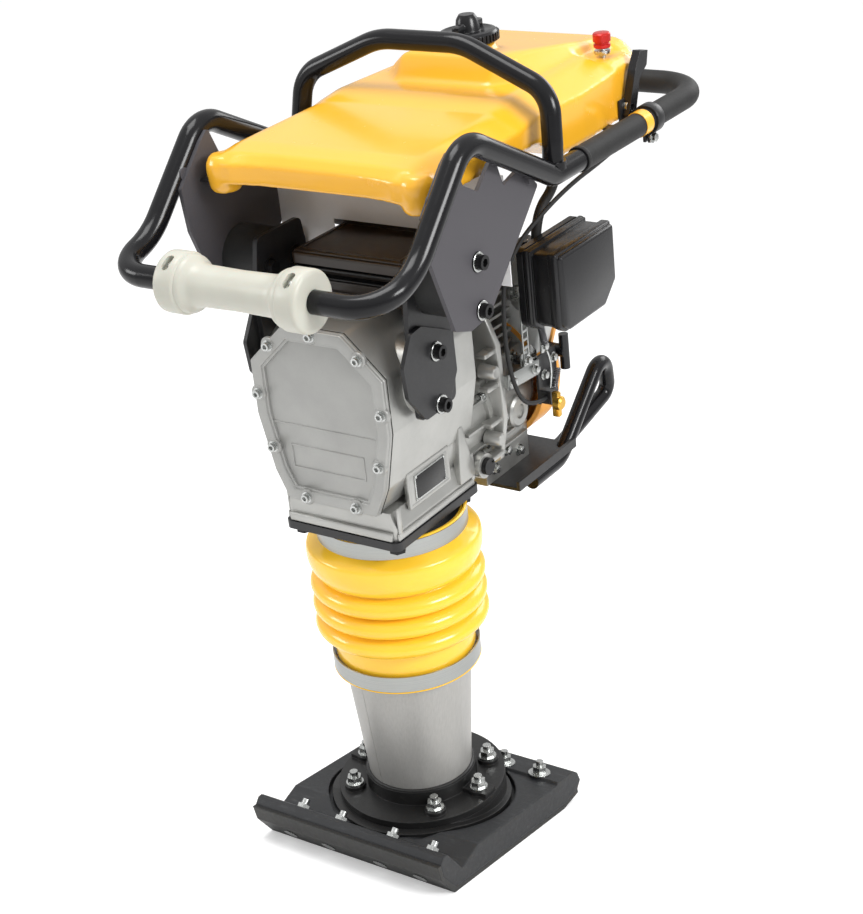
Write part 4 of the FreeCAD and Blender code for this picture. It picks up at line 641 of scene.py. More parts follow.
def coil_pattern(look):
    """A close-wound spring."""
    made = Pattern("coil", Turns=10.0, Radius=5.0, Length=30.0, Wire=0.8)
    helix = made.add("GeometryNodeCurveSpiral", {}, {
        "Resolution": 20, "Rotations": made.size("Turns"), "Start Radius": made.size("Radius"),
        "End Radius": made.size("Radius"), "Height": made.size("Length")})
    wire = made.add("GeometryNodeCurvePrimitiveCircle", {}, {"Resolution": 8, "Radius": made.size("Wire")})
    made.finish(made.add("GeometryNodeCurveToMesh", {}, {
        "Curve": helix, "Profile Curve": wire, "Fill Caps": True}), look)
    return made


def bellows_pattern(look):
    """A tube whose radius swells in folds: three even ones and a tall one on top."""
    made = Pattern("folds", Low=165.0, High=342.0, Start=178.0, Pitch=29.3, Crown=52.0, Collar=87.0,
                   Waist=97.0, Bulge=106.0, Seat=189.0, Rim=320.0, Fullness=0.38)
    sheet = made.add("GeometryNodeMeshGrid", {}, {
        "Size X": 1.0, "Size Y": 1.0, "Vertices X": 129, "Vertices Y": 178})
    spot = made.add("GeometryNodeInputPosition")
    angle = (made.add("ShaderNodeSeparateXYZ", {}, {"Vector": spot}) + 0.5) * math.tau
    share = made.add("ShaderNodeSeparateXYZ", {}, {"Vector": spot}, output="Y") + 0.5
    level = made.size("Low") + share * (made.size("High") - made.size("Low"))
    even_top = made.size("Start") + made.size("Pitch") * 3.0
    fold = ((level - made.size("Start")) / made.size("Pitch")).math("MAXIMUM", 0.0).math("MINIMUM", 3.0)
    crown = ((level - even_top) / made.size("Crown")).math("MAXIMUM", 0.0).math("MINIMUM", 1.0)
    swell = ((fold + crown) * math.pi).math("SINE").math("ABSOLUTE") ** made.size("Fullness")
    folded = made.size("Waist") + (made.size("Bulge") - made.size("Waist")) * swell
    below = made.size("Collar") + (level - made.size("Seat")).math("MAXIMUM", 0.0) * 1.15
    above = made.size("Collar") + (made.size("Rim") - level).math("MAXIMUM", 0.0) * 1.7
    radius = folded.math("SMOOTH_MIN", below, 4.0).math("SMOOTH_MIN", above, 6.0)
    moved = made.add("ShaderNodeCombineXYZ", {}, {
        "X": radius * angle.math("COSINE"), "Y": radius * angle.math("SINE"), "Z": level})
    rolled = made.add("GeometryNodeSetPosition", {}, {"Geometry": sheet, "Position": moved})
    closed = made.add("GeometryNodeMergeByDistance", {}, {"Geometry": rolled, "Distance": 0.01})
    made.finish(closed, look)
    return made


# ---------------------------------------------------------------- fuel tank and what sits on it

def along(stops, x):
    """Straight runs through (place, height) stops."""
    for (a, low), (b, high) in zip(stops, stops[1:]):
        if x <= b:
            return low + (high - low) * max(0.0, (x - a) / (b - a))
    return stops[-1][1]


def soft_min(a, b, width):
    blend = max(0.0, width - abs(a - b)) / width
    return min(a, b) - blend * blend * width / 4


def soft_max(a, b, width):
    return -soft_min(-a, -b, width)


def soft_step(low, high, x):
    share = min(1.0, max(0.0, (x - low) / (high - low)))
    return share * share * (3 - 2 * share)


def tank_top(x, y, sizes):
    """Height of the tank's top above a place of its plan."""
    across = abs(x)
    front, back, deck = sizes["front"], sizes["back"], sizes["deck"]
    floor = along([(front, deck - 26), (front + 14, deck - 16), (front + 44, deck - 12),
                   (112, deck - 7), (150, deck), (back, deck)], y)
    nose = deck + 1 + (y - 185) * 1.45
    cheek = nose - (across - 62) * 1.4
    roof = deck + 30 - (y - 205) * 0.141
    facet = roof - (across - along([(205, 62), (400, 85)], y)) * 0.9
    hump = soft_min(soft_min(nose, roof, 2.5), soft_min(facet, cheek, 3), 2.5)
    height = soft_max(floor, hump, 3)
    chamfer = along([(front, 22), (back, 46)], y)
    shoulder = floor - (across - (sizes["half"] - chamfer)) * 0.55
    height = soft_min(height, shoulder, 5)
    pocket = soft_step(84, 92, x) * (1 - soft_step(126, 134, x))
    pocket *= soft_step(330, 339, y) * (1 - soft_step(384, 393, y))
    return height + (deck - 9 - height) * pocket


def tank_shell(low, high, sizes):
    """A sheet of heights over the tank's rounded plan, closed below: its points and faces."""
    under = [(low.y, low.z + 29), (152, low.z + 29), (198, low.z + 1), (high.y - 34, low.z + 1),
             (high.y - 6, low.z + 24), (high.y, low.z + 30)]
    columns, rows = 84, 132
    points, faces = [], []
    for row in range(rows + 1):
        share = (1 - math.cos(math.pi * row / rows)) / 2
        y = sizes["front"] + (sizes["back"] - sizes["front"]) * (0.5 * share + 0.5 * row / rows)
        half = along([(0, sizes["half"]), (250, sizes["half"]), (high.y, sizes["half"] - 13)], y)
        for end, radius in ((y - sizes["front"], 24), (sizes["back"] - y, 38)):
            short = max(0.0, radius - end)
            half -= radius - math.sqrt(radius * radius - short * short)
        for column in range(columns + 1):
            x = half * (2 * column / columns - 1)
            push = 8 * max(0.0, 1 - (y - sizes["front"]) / 36) * max(0.0, 1 - (x / 106) ** 4)
            points += [(x, y + push, tank_top(x, y, sizes)), (x, y + push, along(under, y))]
    width = columns + 1

    def corner(row, column, below):
        return (row * width + column) * 2 + below

    for below in (0, 1):
        faces += [(corner(r, c, below), corner(r, c + 1, below), corner(r + 1, c + 1, below),
                   corner(r + 1, c, below)) for r in range(rows) for c in range(columns)]
    for column in (0, columns):
        faces += [(corner(r, column, 0), corner(r + 1, column, 0), corner(r + 1, column, 1),
                   corner(r, column, 1)) for r in range(rows)]
    for row in (0, rows):
        faces += [(corner(row, c, 0), corner(row, c + 1, 0), corner(row, c + 1, 1),
                   corner(row, c, 1)) for c in range(columns)]
    return points, faces


def mould_tank(options):
    """The tank: its shell with two feet and the filler's boss, softened all over, and its stays."""
    low, high = where("fuel_tank")
    cap_low, cap_high = where("fuel_cap")
    half, deck = options.width / MM / 2, cap_low.z - 32
    shape = Shape().take(*tank_shell(low, high, {"front": low.y, "back": high.y, "half": half,
                                                 "deck": deck}))
    foot = [(0, low.z + 17), (14, low.z + 17), (18, low.z + 22), (20, low.z + 42), (19, deck - 28),
            (14, deck - 20), (0, deck - 19)]
    stays = Shape()
    for side in SIDES:
        shape.lathe(foot, (side * (half - 18), low.y + 17.5, 0))
        inner, outer = side * (half - 10), side * (high.x - 4)
        stays.box((inner, 298, low.z + 1), (outer, 314, low.z + 4), 0.8)
        stays.box((inner, -66, low.z + 27), (outer, -54, low.z + 30), 0.8)
    stays.piece("tank_stays", "black_sheet", "handle", "black_paint")
    boss = [(0, cap_low.z - 30), (36, cap_low.z - 30), (31, cap_low.z - 2), (0, cap_low.z - 2)]
    shape.lathe(boss, (0, (cap_low.y + cap_high.y) / 2, 0))
    mesh = shape.drawn("tank")
    mesh.transform(MACHINE)
    obj = link("tank", mesh)
    skin = obj.modifiers.new("skin", "REMESH")
    skin.mode = "VOXEL"
    skin.voxel_size = options.grain
    soften = obj.modifiers.new("soften", "SMOOTH")
    soften.factor = 0.5
    soften.iterations = options.softness
    settle(evaluated(obj), "tank_shell", "moulded_yellow", "handle", ("fuel_tank",), 180)


def turn_cap():
    """The filler cap: a knurled skirt, a dished top and an upright grip."""
    low, high = where("fuel_cap")
    centre = (low + high) / 2
    centre.z = low.z
    radius = (high.x - low.x) / 2
    top = 14
    shape = Shape()
    shape.lathe([(0, 0.4), (radius - 2.5, 0.4), (radius - 1.5, 1.5), (radius - 1.5, top - 4),
                 (radius - 4, top - 1), (radius - 8, top), (radius - 11, top - 1.5), (0, top - 1.5)], centre)
    shape.lathe([(0, top - 2), (15, top - 2), (14, top + 2), (12.5, top + 12), (9, high.z - low.z - 0.5),
                 (0, high.z - low.z - 0.5)], centre)
    shape.box((-5, centre.y - 26, low.z + top - 2), (5, centre.y + 26, low.z + top + 8), 2.0)
    ribs = ring_pattern("black_plastic").grow("cap_ribs", Count=40, Radius=radius - 1.6, Length=3.0,
                                              Width=2.4, Height=9.0)
    ribs.transform(MACHINE @ Matrix.Translation(centre + Vector((0, 0, 6.2))) @ TO_MACHINE)
    shape.piece("filler_cap", "black_plastic", "cap", "black_plastic", ("fuel_cap",))
    settle(ribs, "filler_cap_ribs", "black_plastic", "cap")


def turn_vent():
    """The vent's red head with its finger grooves, on a bright stem."""
    low, high = where("vent_knob")
    centre = (low + high) / 2
    centre.z = 0
    radius = (high.x - low.x) / 2 + 1.5
    head = high.z - 22
    top = high.z - 3.5
    Shape().lathe([(0, head), (radius - 2, head), (radius - 0.5, head + 1.2), (radius - 0.5, head + 4.5),
                   (radius - 2, head + 5.5), (radius - 2, head + 7), (radius, head + 8),
                   (radius, top - 2.2), (radius - 1.4, top - 0.6), (radius - 4, top), (0, top)],
                  centre, sides=40).piece(
        "vent_head", "knob_red", "vent", "knob_red", ("vent_knob",))
    Shape().lathe([(0, low.z), (4, low.z), (4, head - 7), (9, head - 7), (9.6, head - 6), (9.6, head - 2.6),
                   (4, head - 2.6), (4, head + 1), (0, head + 1)], centre, sides=24).piece(
        "vent_stem", "zinc", "vent", "zinc")


# ---------------------------------------------------------------- cable and hose

THROTTLE_ROUTE = ((156, 333.7, 731), (156, 290, 721), (148, 180, 707), (116, 106, 650), (108, 104, 560),
                  (108, 116, 490), (105, 150, 450), (103, 189.7, 446))
ROPE_ROUTE = ((78, 244, 484.8), (66, 244, 484.8), (55, 244, 484.8), (44, 244, 484.8))
HOSE_ROUTE = ((112, 240, 741.7), (112, 240, 700), (106, 190, 672), (106, 190, 629.5))


def run_line(name, nodes, route, radius, look="black_rubber"):
    """A cable, hose or rope from a moving body to the engine."""
    bare = smooth_line(route)
    bpy.data.meshes.remove(bare)
    piece = Shape().tube(route, radius, 5).piece(name, look, None, "black_rubber", nodes)
    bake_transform(piece)


# ---------------------------------------------------------------- leg, bellows and roller

def fold_bellows(options):
    """The bellows: folds from a formula, then a wall turned inwards, with a band on each collar."""
    seat = where("lower_band")[1].z + 7
    rim = where("damper_plate")[0].z - 26
    collar = where("leg_sleeve")[1].x + 2.7
    radius = where("bellows")[1].x - 3.5
    start = seat + 25
    pitch = options.pitch / MM
    mesh = bellows_pattern("bellows_rubber").grow(
        "folds", Low=seat - 24.0, High=rim + 20.0, Start=start, Pitch=pitch,
        Crown=rim + 8 - start - 3 * pitch, Collar=collar, Waist=radius - options.depth / MM,
        Bulge=radius, Seat=seat, Rim=rim + 0.0)
    obj = link("folds", mesh)
    wall = obj.modifiers.new("wall", "SOLIDIFY")
    wall.thickness = 2.3 * MM
    wall.offset = -1
    made = evaluated(obj)
    skin = bmesh.new()
    skin.from_mesh(made)
    bmesh.ops.recalc_face_normals(skin, faces=skin.faces)
    skin.to_mesh(made)
    skin.free()
    piece = settle(made, "bellows_folds", "bellows_rubber", None, ("bellows",), 180)
    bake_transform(piece)
    Shape().lathe([(72.4, rim + 12), (collar - 3, rim + 7), (collar - 3, rim + 19), (72.4, rim + 19)],
                  sides=96).piece("neck_ring", "cast_black", "chassis", "black_paint")
    for end, body, level, lip in (("lower", "foot", seat - 22, seat - 23.6),
                                  ("upper", "chassis", rim, rim + 20.6)):
        Shape().lathe(oblong(collar + 0.2, level, collar + 1.9, level + 19.5), sides=128).piece(
            end + "_clamp_band", "brushed_zinc", body, "zinc", (end + "_band",))
        Shape().lathe([(collar - 1.4, lip - 1.4), (collar + 0.6, lip - 1.4), (collar + 2.2, lip),
                       (collar + 0.6, lip + 1.4), (collar - 1.4, lip + 1.4)], sides=128).piece(
            end + "_lip", "bellows_rubber", body, "bellows_yellow")


def seam_leg():
    """The leg's weld seam and the bead where it stands in its collar."""
    foot_radius, taper, angle = 61.5, (75.5 - 61.5) / 168, math.radians(-104)
    spots = []
    for level in (20, 60, 110, 164):
        radius = foot_radius + taper * level - 0.2
        spots.append((radius * math.cos(angle), radius * math.sin(angle), level))
    Shape().tube(spots, 0.9, 2).piece("leg_seam", "leg_grey", "foot", "leg_grey")
    collar = where("clamp_flange")[1].z
    Shape().lathe([(61, collar - 1), (66.5, collar - 1), (66.2, collar + 1.2), (64.5, collar + 2.4),
                   (62.2, collar + 2.2)], sides=96).piece("collar_bead", "cast_black", "foot",
                                                          "foot_black")


def turn_roller():
    """The loading roller: two grooved flanges with screw pockets on a waisted body."""
    low, high = where("roller_halves")
    centre = (low + high) / 2
    rim = (high.z - low.z) / 2
    bore = 12.6
    half = (high.x - low.x) / 2
    side_profile = [(bore, half), (rim - 6, half), (rim - 2, half - 0.9), (rim - 0.3, half - 3),
                    (rim, half - 6), (rim, half - 24), (rim - 1, half - 26), (rim - 2.4, half - 27),
                    (rim - 2.4, half - 31), (rim - 4, half - 34), (rim - 8, half - 37),
                    (rim - 10, half - 42), (rim - 11, half - 50)]
    profile = side_profile + [(rim - 11.8, 0)] + [(r, -h) for r, h in reversed(side_profile)]
    shape = Shape().lathe(profile, centre, "X", sides=96)
    cutter = Shape()
    screws, ways = [], []
    for side in SIDES:
        for turn in (58, 238):
            way = Vector((0, -math.cos(math.radians(turn)), math.sin(math.radians(turn))))
            spot = centre + Vector((side * (half - 14), 0, 0)) + way * (rim - 7)
            lie = way.to_track_quat("Z", "Y").to_matrix()
            slot = [(4.6 * math.cos(a) + (5 if math.cos(a) > 0 else -5), 4.6 * math.sin(a))
                    for a in (math.tau * i / 20 for i in range(20))]
            n = len(slot)
            points = [spot + lie @ Vector((v, u, level)) for level in (0, 12) for u, v in slot]
            cutter.take(points, [(i, (i + 1) % n, n + (i + 1) % n, n + i) for i in range(n)]
                        + [tuple(range(n)), tuple(range(n, 2 * n))])
            screws.append(spot - way * 0.2)
            ways.append(way)
    body, pockets = (link("roller", part.drawn("roller")) for part in (shape, cutter))
    trim = body.modifiers.new("pockets", "BOOLEAN")
    trim.object = pockets
    trim.solver = "EXACT"
    made = evaluated(body)
    bpy.data.objects.remove(pockets)
    made.transform(MACHINE)
    settle(made, "roller_body", "cream_nylon", "roller", ("roller_halves",), 40)
    bolts("roller_screws", "roller", screws, ways, 3.0, 2.2, 3.9, 0.6)


# ---------------------------------------------------------------- crankcase

def cover_outline():
    """The front cover's outline as (x, z), from its CAD box."""
    low, high = where("gear_cover")
    half = high.x
    return mirrored([(half - 29, low.z), (half - 14, low.z + 34), (half, low.z + 101),
                     (half, high.z - 46), (half - 49, high.z)])


def cast_cover():
    """The gear cover: a sunk panel in a raised rim, with cast lines and screw seats."""
    low, high = where("gear_cover")
    outline = cover_outline()
    face = low.y + 2
    shape = Shape()
    shape.prism(outline, face + 4.4, high.y - 0.1, "Y", 1.2)
    shape.prism(inset(outline, 0.4), face + 0.2, face + 5, "Y", 1.6, inset(outline, 14), 3)
    shape.prism(inset(outline, 11), face + 2.4, face + 5.4, "Y", 0.9, inset(outline, 17))
    waist = low.z + 92
    shape.prism(oblong(-70, waist, 70, waist + 2), face + 3.4, face + 5, "Y", 0.5)
    label = oblong(-50, low.z + 40, 50, low.z + 69)
    shape.prism(label, face + 3.4, face + 5, "Y", 0.4, inset(label, 1.8))
    shape.piece("cover_panel", "cover_alloy", "chassis", "cast_alloy", ("gear_cover",), 30)
    spots = [(0, high.z - 6)]
    for side in SIDES:
        spots += [(side * (high.x - 29), high.z - 25), (side * (high.x - 6), high.z - 85),
                  (side * (high.x - 17), high.z - 148), (side * (high.x - 55), low.z + 7)]
    seats_cast = Shape()
    for x, z in spots:
        seats_cast.lathe([(5.2, 0.0), (8.6, 0.0), (9.6, 1.2), (9.6, 5.0), (5.2, 5.0)], (x, face - 0.5, z),
                         "Y", 28)
    seats_cast.piece("screw_seats", "cover_alloy", "chassis", "cast_alloy")


def trim_case():
    """Ribs, pads and the bare rating plate cast on or fixed to the crankcase."""
    corner = where("damper_plate")[1]
    base, half = corner.z, corner.x - 4
    shape = Shape()
    field = oblong(-62, base + 26, 20, base + 70)
    gusset = [(34, base + 12), (66, base + 12), (66, base + 20), (48, base + 82), (40, base + 82)]
    for side in SIDES:
        inner, outer = side * (half - 1), side * (half + 2.5)
        shape.box((inner, -90, base + 0.3), (outer, 64, base + 9), 1.5)
        for y in (-88, 60):
            shape.box((inner, y, base + 6), (outer, y + 7, base + 40), 2.0)
        shape.prism(field, side * (half - 3), side * (half + 1.4), "X", 1.0, inset(field, 4))
        shape.prism(inset(field, 3), side * (half - 7), side * (half + 0.8), "X", 0.4)
        shape.prism(gusset, side * (half - 6), side * (half + 4), "X", 2.0)
    shape.box((-half + 4, -95.5, base + 0.3), (half - 4, -90, base + 11), 2.2)
    shape.piece("case_ribs", "cast_alloy", "chassis", "cast_alloy")
    plate = oblong(-50, base + 32, 10, base + 63)
    Shape().prism(plate, half + 0.8, half + 2.2, "X", 0.4).piece(
        "rating_plate", "zinc", "chassis", "zinc")
    Shape().prism(inset(plate, 1.8), half + 2.0, half + 2.5, "X", 0.2).piece(
        "rating_field", "plate_black", "chassis", "black_paint")
    corners = [(half + 2.1, y, z) for y in (-47.5, 7.5) for z in (base + 34.5, base + 60.5)]
    bolts("plate_rivets", "chassis", corners, (1, 0, 0), 1.3, 0.6, 1.8, 0.4)


def washers():
    """Bright washers under the black bolts of the side plates and brackets."""
    bracket = where("bracket_bolts")
    sides = where("side_bolts")
    rings = {"handle": [], "chassis": []}
    for side in SIDES:
        for z in (sides[0].z + 11, sides[1].z - 11):
            rings["handle"].append((side * (where("side_plates")[1].x - 6.0), -10, z))
        for z in (bracket[0].z + 11, bracket[0].z + 73):
            rings["chassis"].append((side * where("mount_brackets")[1].x, -28, z))
    inner = where("mount_brackets")[1].x - 5
    rings["inner"] = [(-side * inner, y, bracket[0].z + 148) for side in SIDES for y in (-39, 9)]
    for body, spots in rings.items():
        shape = Shape()
        for x, y, z in spots:
            out = 1 if (x > 0) != (body == "inner") else -1
            shape.lathe(flipped([(8.4, 0), (10.9, 0), (10.9, 1.7), (10.3, 2.2), (8.4, 2.2)], out),
                        (x, y, z), "X", 36)
        shape.piece(body + "_washers", "zinc", "handle" if body == "handle" else "chassis", "zinc")


# ---------------------------------------------------------------- engine

SHAFT = 448.75            # height of the engine's shaft


def rib_housing():
    """Ribs round the clutch housing."""
    ribs = ring_pattern("engine_alloy").grow("housing_ribs", Count=18, Radius=76.5, Length=7.0,
                                             Width=3.6, Height=44.0)
    back = where("crankcase")[1].y
    turn = Matrix.Translation((0, back - 32, SHAFT)) @ Matrix.Rotation(math.radians(-90), 4, "X")
    ribs.transform(MACHINE @ turn @ TO_MACHINE)
    settle(ribs, "housing_ribs", "engine_alloy", "chassis")


def bolt_engine():
    """Bolts round the clutch housing and on the block's sides."""
    low, high = where("engine_block")
    back = where("crankcase")[1].y
    spots, ways = [], []
    for step in range(8):
        angle = math.radians(22.5 + 45 * step)
        spots.append((77 * math.cos(angle), back - 9, SHAFT + 77 * math.sin(angle)))
        ways.append((0, -1, 0))
    for side in SIDES:
        for y, z in ((low.y + 26, 492), (high.y - 22, 492), (low.y + 26, 368), (high.y - 22, 368),
                     (high.y - 50, 380)):
            spots.append((side * 56, y, z))
            ways.append((side, 0, 0))
    bolts("engine_bolts", "chassis", spots, ways, 5.6, 5.0, 7.4, 1.2)


def cast_block():
    """Ribs, bosses and the carburettor's neck on the engine block."""
    low, high = where("engine_block")
    cast = Shape()
    boss = [(0, 50), (20, 50), (20, 72), (17, 75), (9, 75), (8, 72), (0, 72)]
    rib = [(118, 380), (134, 380), (172, 500), (160, 506), (118, 440)]
    for side in SIDES:
        for z in (470, 484, 400, 386):
            cast.box((side * 50, low.y + 12, z), (side * 61, high.y - 6, z + 4), 1.2)
        cast.lathe(flipped(boss, side), (0, 176, 430), "X", 48)
        cast.prism(rib, side * 54, side * 66, "X", 2.0)
    cast.lathe([(0, 560), (12, 560), (16, 566), (16, 586), (13, 591), (0, 591)], (86, 188, 0), sides=40)
    cast.piece("block_ribs", "engine_alloy", "chassis", "cast_alloy")


def flare_bell():
    """The flange where the engine joins the crankcase, its ribs, bosses and bolts."""
    back = where("crankcase")[1].y
    bell = mirrored([(48, 371), (84, 396), (94, 450), (92, 540), (74, 584)])
    boss = [(0, 74), (9, 74), (8, 93), (6.5, 95), (0, 95)]
    flare = Shape().prism(bell, back + 0.3, back + 9.4, "Y", 2.4)
    for side in SIDES:
        for level, depth in ((404, 30), (446, 22), (490, 22), (532, 22)):
            flare.box((side * 76, back - depth, level), (side * 90, back + 2, level + 6), 1.8)
        for level in (428, 512):
            flare.lathe(flipped(boss, side), (0, back - 9, level), "X", 32)
    flare.piece("bell_flange", "cast_alloy", "chassis", "cast_alloy")
    spots = [(side * x, back + 9.2, z) for side in SIDES
             for x, z in ((78, 404), (87, 448), (87, 492), (84, 538), (68, 576))]
    bolts("bell_bolts", "chassis", spots, (0, 1, 0), 4.6, 4.0, 6.2, 1.0)


def strap_carburettor():
    """The slotted strap and clamp beside the carburettor, with their bolts."""
    strap = Shape()
    strap.box((99.6, 153, 500), (101, 155.4, 586), 0.3).box((99.6, 163.6, 500), (101, 166, 586), 0.3)
    for step in range(9):
        strap.box((99.6, 154.6, 500 + 10.3 * step), (101, 164.4, 503.6 + 10.3 * step), 0.3)
    strap.prism([(118, 484), (186, 478), (188, 496), (120, 503)], 97, 99.4, "X", 0.6)
    strap.box((84, 120, 486), (98, 122.4, 501), 0.5).box((84, 182, 480), (98, 184.4, 495), 0.5)
    strap.piece("carburettor_strap", "brushed_zinc", "chassis", "zinc")
    spots = [(101, 159.5, 594), (99.4, 128, 493), (99.4, 177, 488), (101, 159.5, 507)]
    bolts("strap_bolts", "chassis", spots, (1, 0, 0), 4.6, 4.2, 6.4, 1.0)


def cover_fan():
    """The fan's grey cowl and its coloured edge."""
    cowl = mirrored([(70, 470), (86, 520), (70, 590), (44, 604)])
    Shape().prism(cowl, 217, 250, "Y", 4.0, segments=3).piece("fan_cowl", "cowl_grey", "chassis", "leg_grey")
    Shape().prism(inset(cowl, -1.8), 250, 258, "Y", 2.0).piece("cowl_edge", "cowl_edge", "chassis",
                                                              "tank_yellow")


def link_governor():
    """The governor's plates and rods, their nuts and their two springs."""
    metal = Shape()
    metal.lathe(oblong(17.0, 574, 18.4, 592), (86, 188, 0), sides=48)
    metal.box((103, 183, 575), (116, 185, 591), 0.6).box((103, 191, 575), (116, 193, 591), 0.6)
    metal.prism([(196, 500), (204, 498), (214, 556), (206, 574), (198, 570)], 96, 98.5, "X", 0.5)
    metal.prism([(170, 470), (204, 470), (204, 500), (192, 512), (170, 506)], 84, 86.5, "X", 0.5)
    metal.tube([(97, 202, 560), (97, 200, 590), (92, 198, 620), (91, 196, 640)], 1.2, 2)
    metal.tube([(99, 206, 500), (102, 214, 480), (100, 206, 452)], 1.4, 2)
    metal.piece("linkage", "zinc", "chassis", "zinc")
    spots = [(98.5, 201, 508), (98.5, 205, 552), (86.5, 178, 480), (86.5, 196, 486), (95.2, 202, 470),
             (95.2, 220, 452), (95.2, 224, 484)]
    bolts("link_nuts", "chassis", spots, (1, 0, 0), 4.8, 4.4, 6.6, 1.0)
    for name, spot, reach, tilt in (("governor_spring", (101, 200, 512), 34.0, 14),
                                    ("return_spring", (101, 212, 448), 26.0, -30)):
        coil = coil_pattern("spring_steel").grow(name, Turns=reach / 2.2, Radius=3.6, Length=reach, Wire=0.7)
        lie = Matrix.Translation(spot) @ Matrix.Rotation(math.radians(tilt), 4, "X")
        coil.transform(MACHINE @ lie @ TO_MACHINE)
        settle(coil, name, "spring_steel", "chassis")


def fit_tap_and_lead():
    """The brass fuel tap, and the lead and cap of the spark plug."""
    tap = [(0, 0), (5, 0), (5, 3), (8.5, 4), (8.5, 12), (6, 14), (0, 14)]
    Shape().lathe(tap, (100, 210, 432), "X", 28).box((100, 206, 414), (110, 214, 446), 2.0).piece(
        "fuel_tap", "fuel_brass", "chassis", "zinc")
    Shape().tube([(0, 100, 612), (0, 84, 612), (14, 88, 640), (44, 118, 652), (54, 170, 640),
                  (56, 206, 600)], 3.4, 3).lathe(
        [(0, 0), (8, 0), (9.5, 6), (9.5, 20), (7, 26), (0, 26)], (0, 82, 612), "Y", 28).piece(
        "plug_lead", "black_rubber", "chassis", "black_rubber")


def mould_cleaner():
    """The air cleaner's cover: a deep rounded lid over a seam flange, with its screw lug."""
    low, high = where("air_cleaner_cover")
    corners = [(low.y, low.z + 10), (low.y + 14, low.z), (high.y - 30, low.z), (high.y, low.z + 26),
               (high.y, high.z), (low.y, high.z)]
    shape = Shape()
    shape.prism(inset(corners, 4.0), low.x + 8, high.x, "X", 4.5, segments=4)
    shape.prism(inset(corners, 1.6), low.x + 30, high.x - 5.5, "X", 2.6, segments=3)
    shape.box((high.x - 24, high.y - 4, low.z + 30), (high.x - 12, high.y + 7, low.z + 35), 1.2)
    shape.prism(inset(corners, 0.2), low.x + 0.2, low.x + 7, "X", 2.2)
    shape.prism(inset(corners, 1.2), low.x + 5, low.x + 10, "X", 1.5)
    shape.box((low.x + 4, high.y - 22, low.z - 3), (low.x + 16, high.y - 6, low.z + 14), 2.0)
    shape.piece("cleaner_lid", "black_plastic", "chassis", "black_plastic", ("air_cleaner_cover",))
    bolts("cleaner_screw", "chassis", [(low.x - 2, high.y - 26, low.z - 12)], (0, 0, -1), 4.2, 3.4, 5.6, 0.8)


def cut_shield():
    """The grey sheet between the side plates, which straddles the intake box, and its black tab."""
    low, high = where("intake_box")
    top = where("fuel_tank")[0].z + 23
    face = (low.y + high.y) / 2 + 16
    half = where("side_plates")[1].x - 12
    under = high.z + 9.5
    slot = high.x + 2.2
    outline = mirrored([(slot, under), (slot, high.z - 44), (half, high.z - 44), (half, top)])
    Shape().prism(outline, face, face + 1.6, "Y", 0.4).piece(
        "heat_shield", "shield_grey", "handle", "leg_grey")
    left = -slot - 56
    tab = [(left, under - 42), (left + 14, under - 42), (left + 14, under - 26), (left + 11, under - 18),
           (left + 3, under - 18), (left, under - 26)]
    Shape().prism(tab, face - 5, face - 2, "Y", 0.5, inset(tab, 4.2)).box(
        (left + 2, face - 4.6, under - 42), (left + 12, face + 0.5, under - 38), 0.4).piece(
        "shield_tab", "black_sheet", "handle", "black_paint")


def lid_intake():
    """The intake box's lid: a brown-black cover with a raised border over a black seam."""
    low, high = where("intake_box")
    plan = oblong(low.x + 3, low.y + 3, high.x - 3, high.y - 3)
    shape = Shape().prism(plan, high.z - 0.5, high.z + 2.6, "Z", 1.4)
    shape.prism(inset(plan, 5), high.z + 2.2, high.z + 3.8, "Z", 0.6, inset(plan, 8))
    shape.box((low.x - 9, high.y - 47, high.z - 1), (high.x + 9, high.y - 4, high.z + 17), 2.5)
    shape.piece("intake_lid", "brown_black", "chassis", "black_plastic")
    seam = inset(plan, -4.4)
    Shape().prism(seam, high.z - 17, high.z - 14, "Z", 1.2).prism(
        inset(seam, 0.6), high.z - 26, high.z - 24.4, "Z", 0.7).piece(
        "intake_seam", "black_plastic", "chassis", "black_plastic")


def cover_muffler():
    """A slotted guard over the muffler's outer face."""
    low, high = where("muffler")
    shape = Shape()
    shape.prism(oblong(low.y + 4, low.z + 4, high.y - 20, high.z - 4), low.x - 5, low.x - 3.4, "X", 0.5)
    for row in range(6):
        z = low.z + 14 + row * 11
        shape.box((low.x - 7.5, low.y + 12, z), (low.x - 4.4, high.y - 28, z + 4.5), 1.4)
    for y in (low.y + 12, high.y - 30):
        for z in (low.z + 10, high.z - 10):
            shape.lathe(oblong(0, low.x - 4, 3.4, low.x + 1), (0, y, z), "X", 16)
    shape.piece("muffler_guard", "muffler_steel", "chassis", "machined_steel")


def dress_recoil():
    """The starter's raised rim and its bare centre badge."""
    low, high = where("recoil_housing")
    centre = (0, 0, (low.z + high.z) / 2)
    radius = high.x
    Shape().lathe([(radius - 10, high.y - 1.0), (radius - 7, high.y + 1.2), (radius - 16, high.y + 2.2),
                   (radius - 20, high.y + 1.0), (radius - 20, high.y - 1.0)], centre, "Y", 72).lathe(
        [(6, high.y - 1), (26, high.y - 1), (25, high.y + 3), (20, high.y + 4.5), (6, high.y + 4.5)],
        centre, "Y", 48).piece("recoil_rim", "cowl_grey", "chassis", "leg_grey")


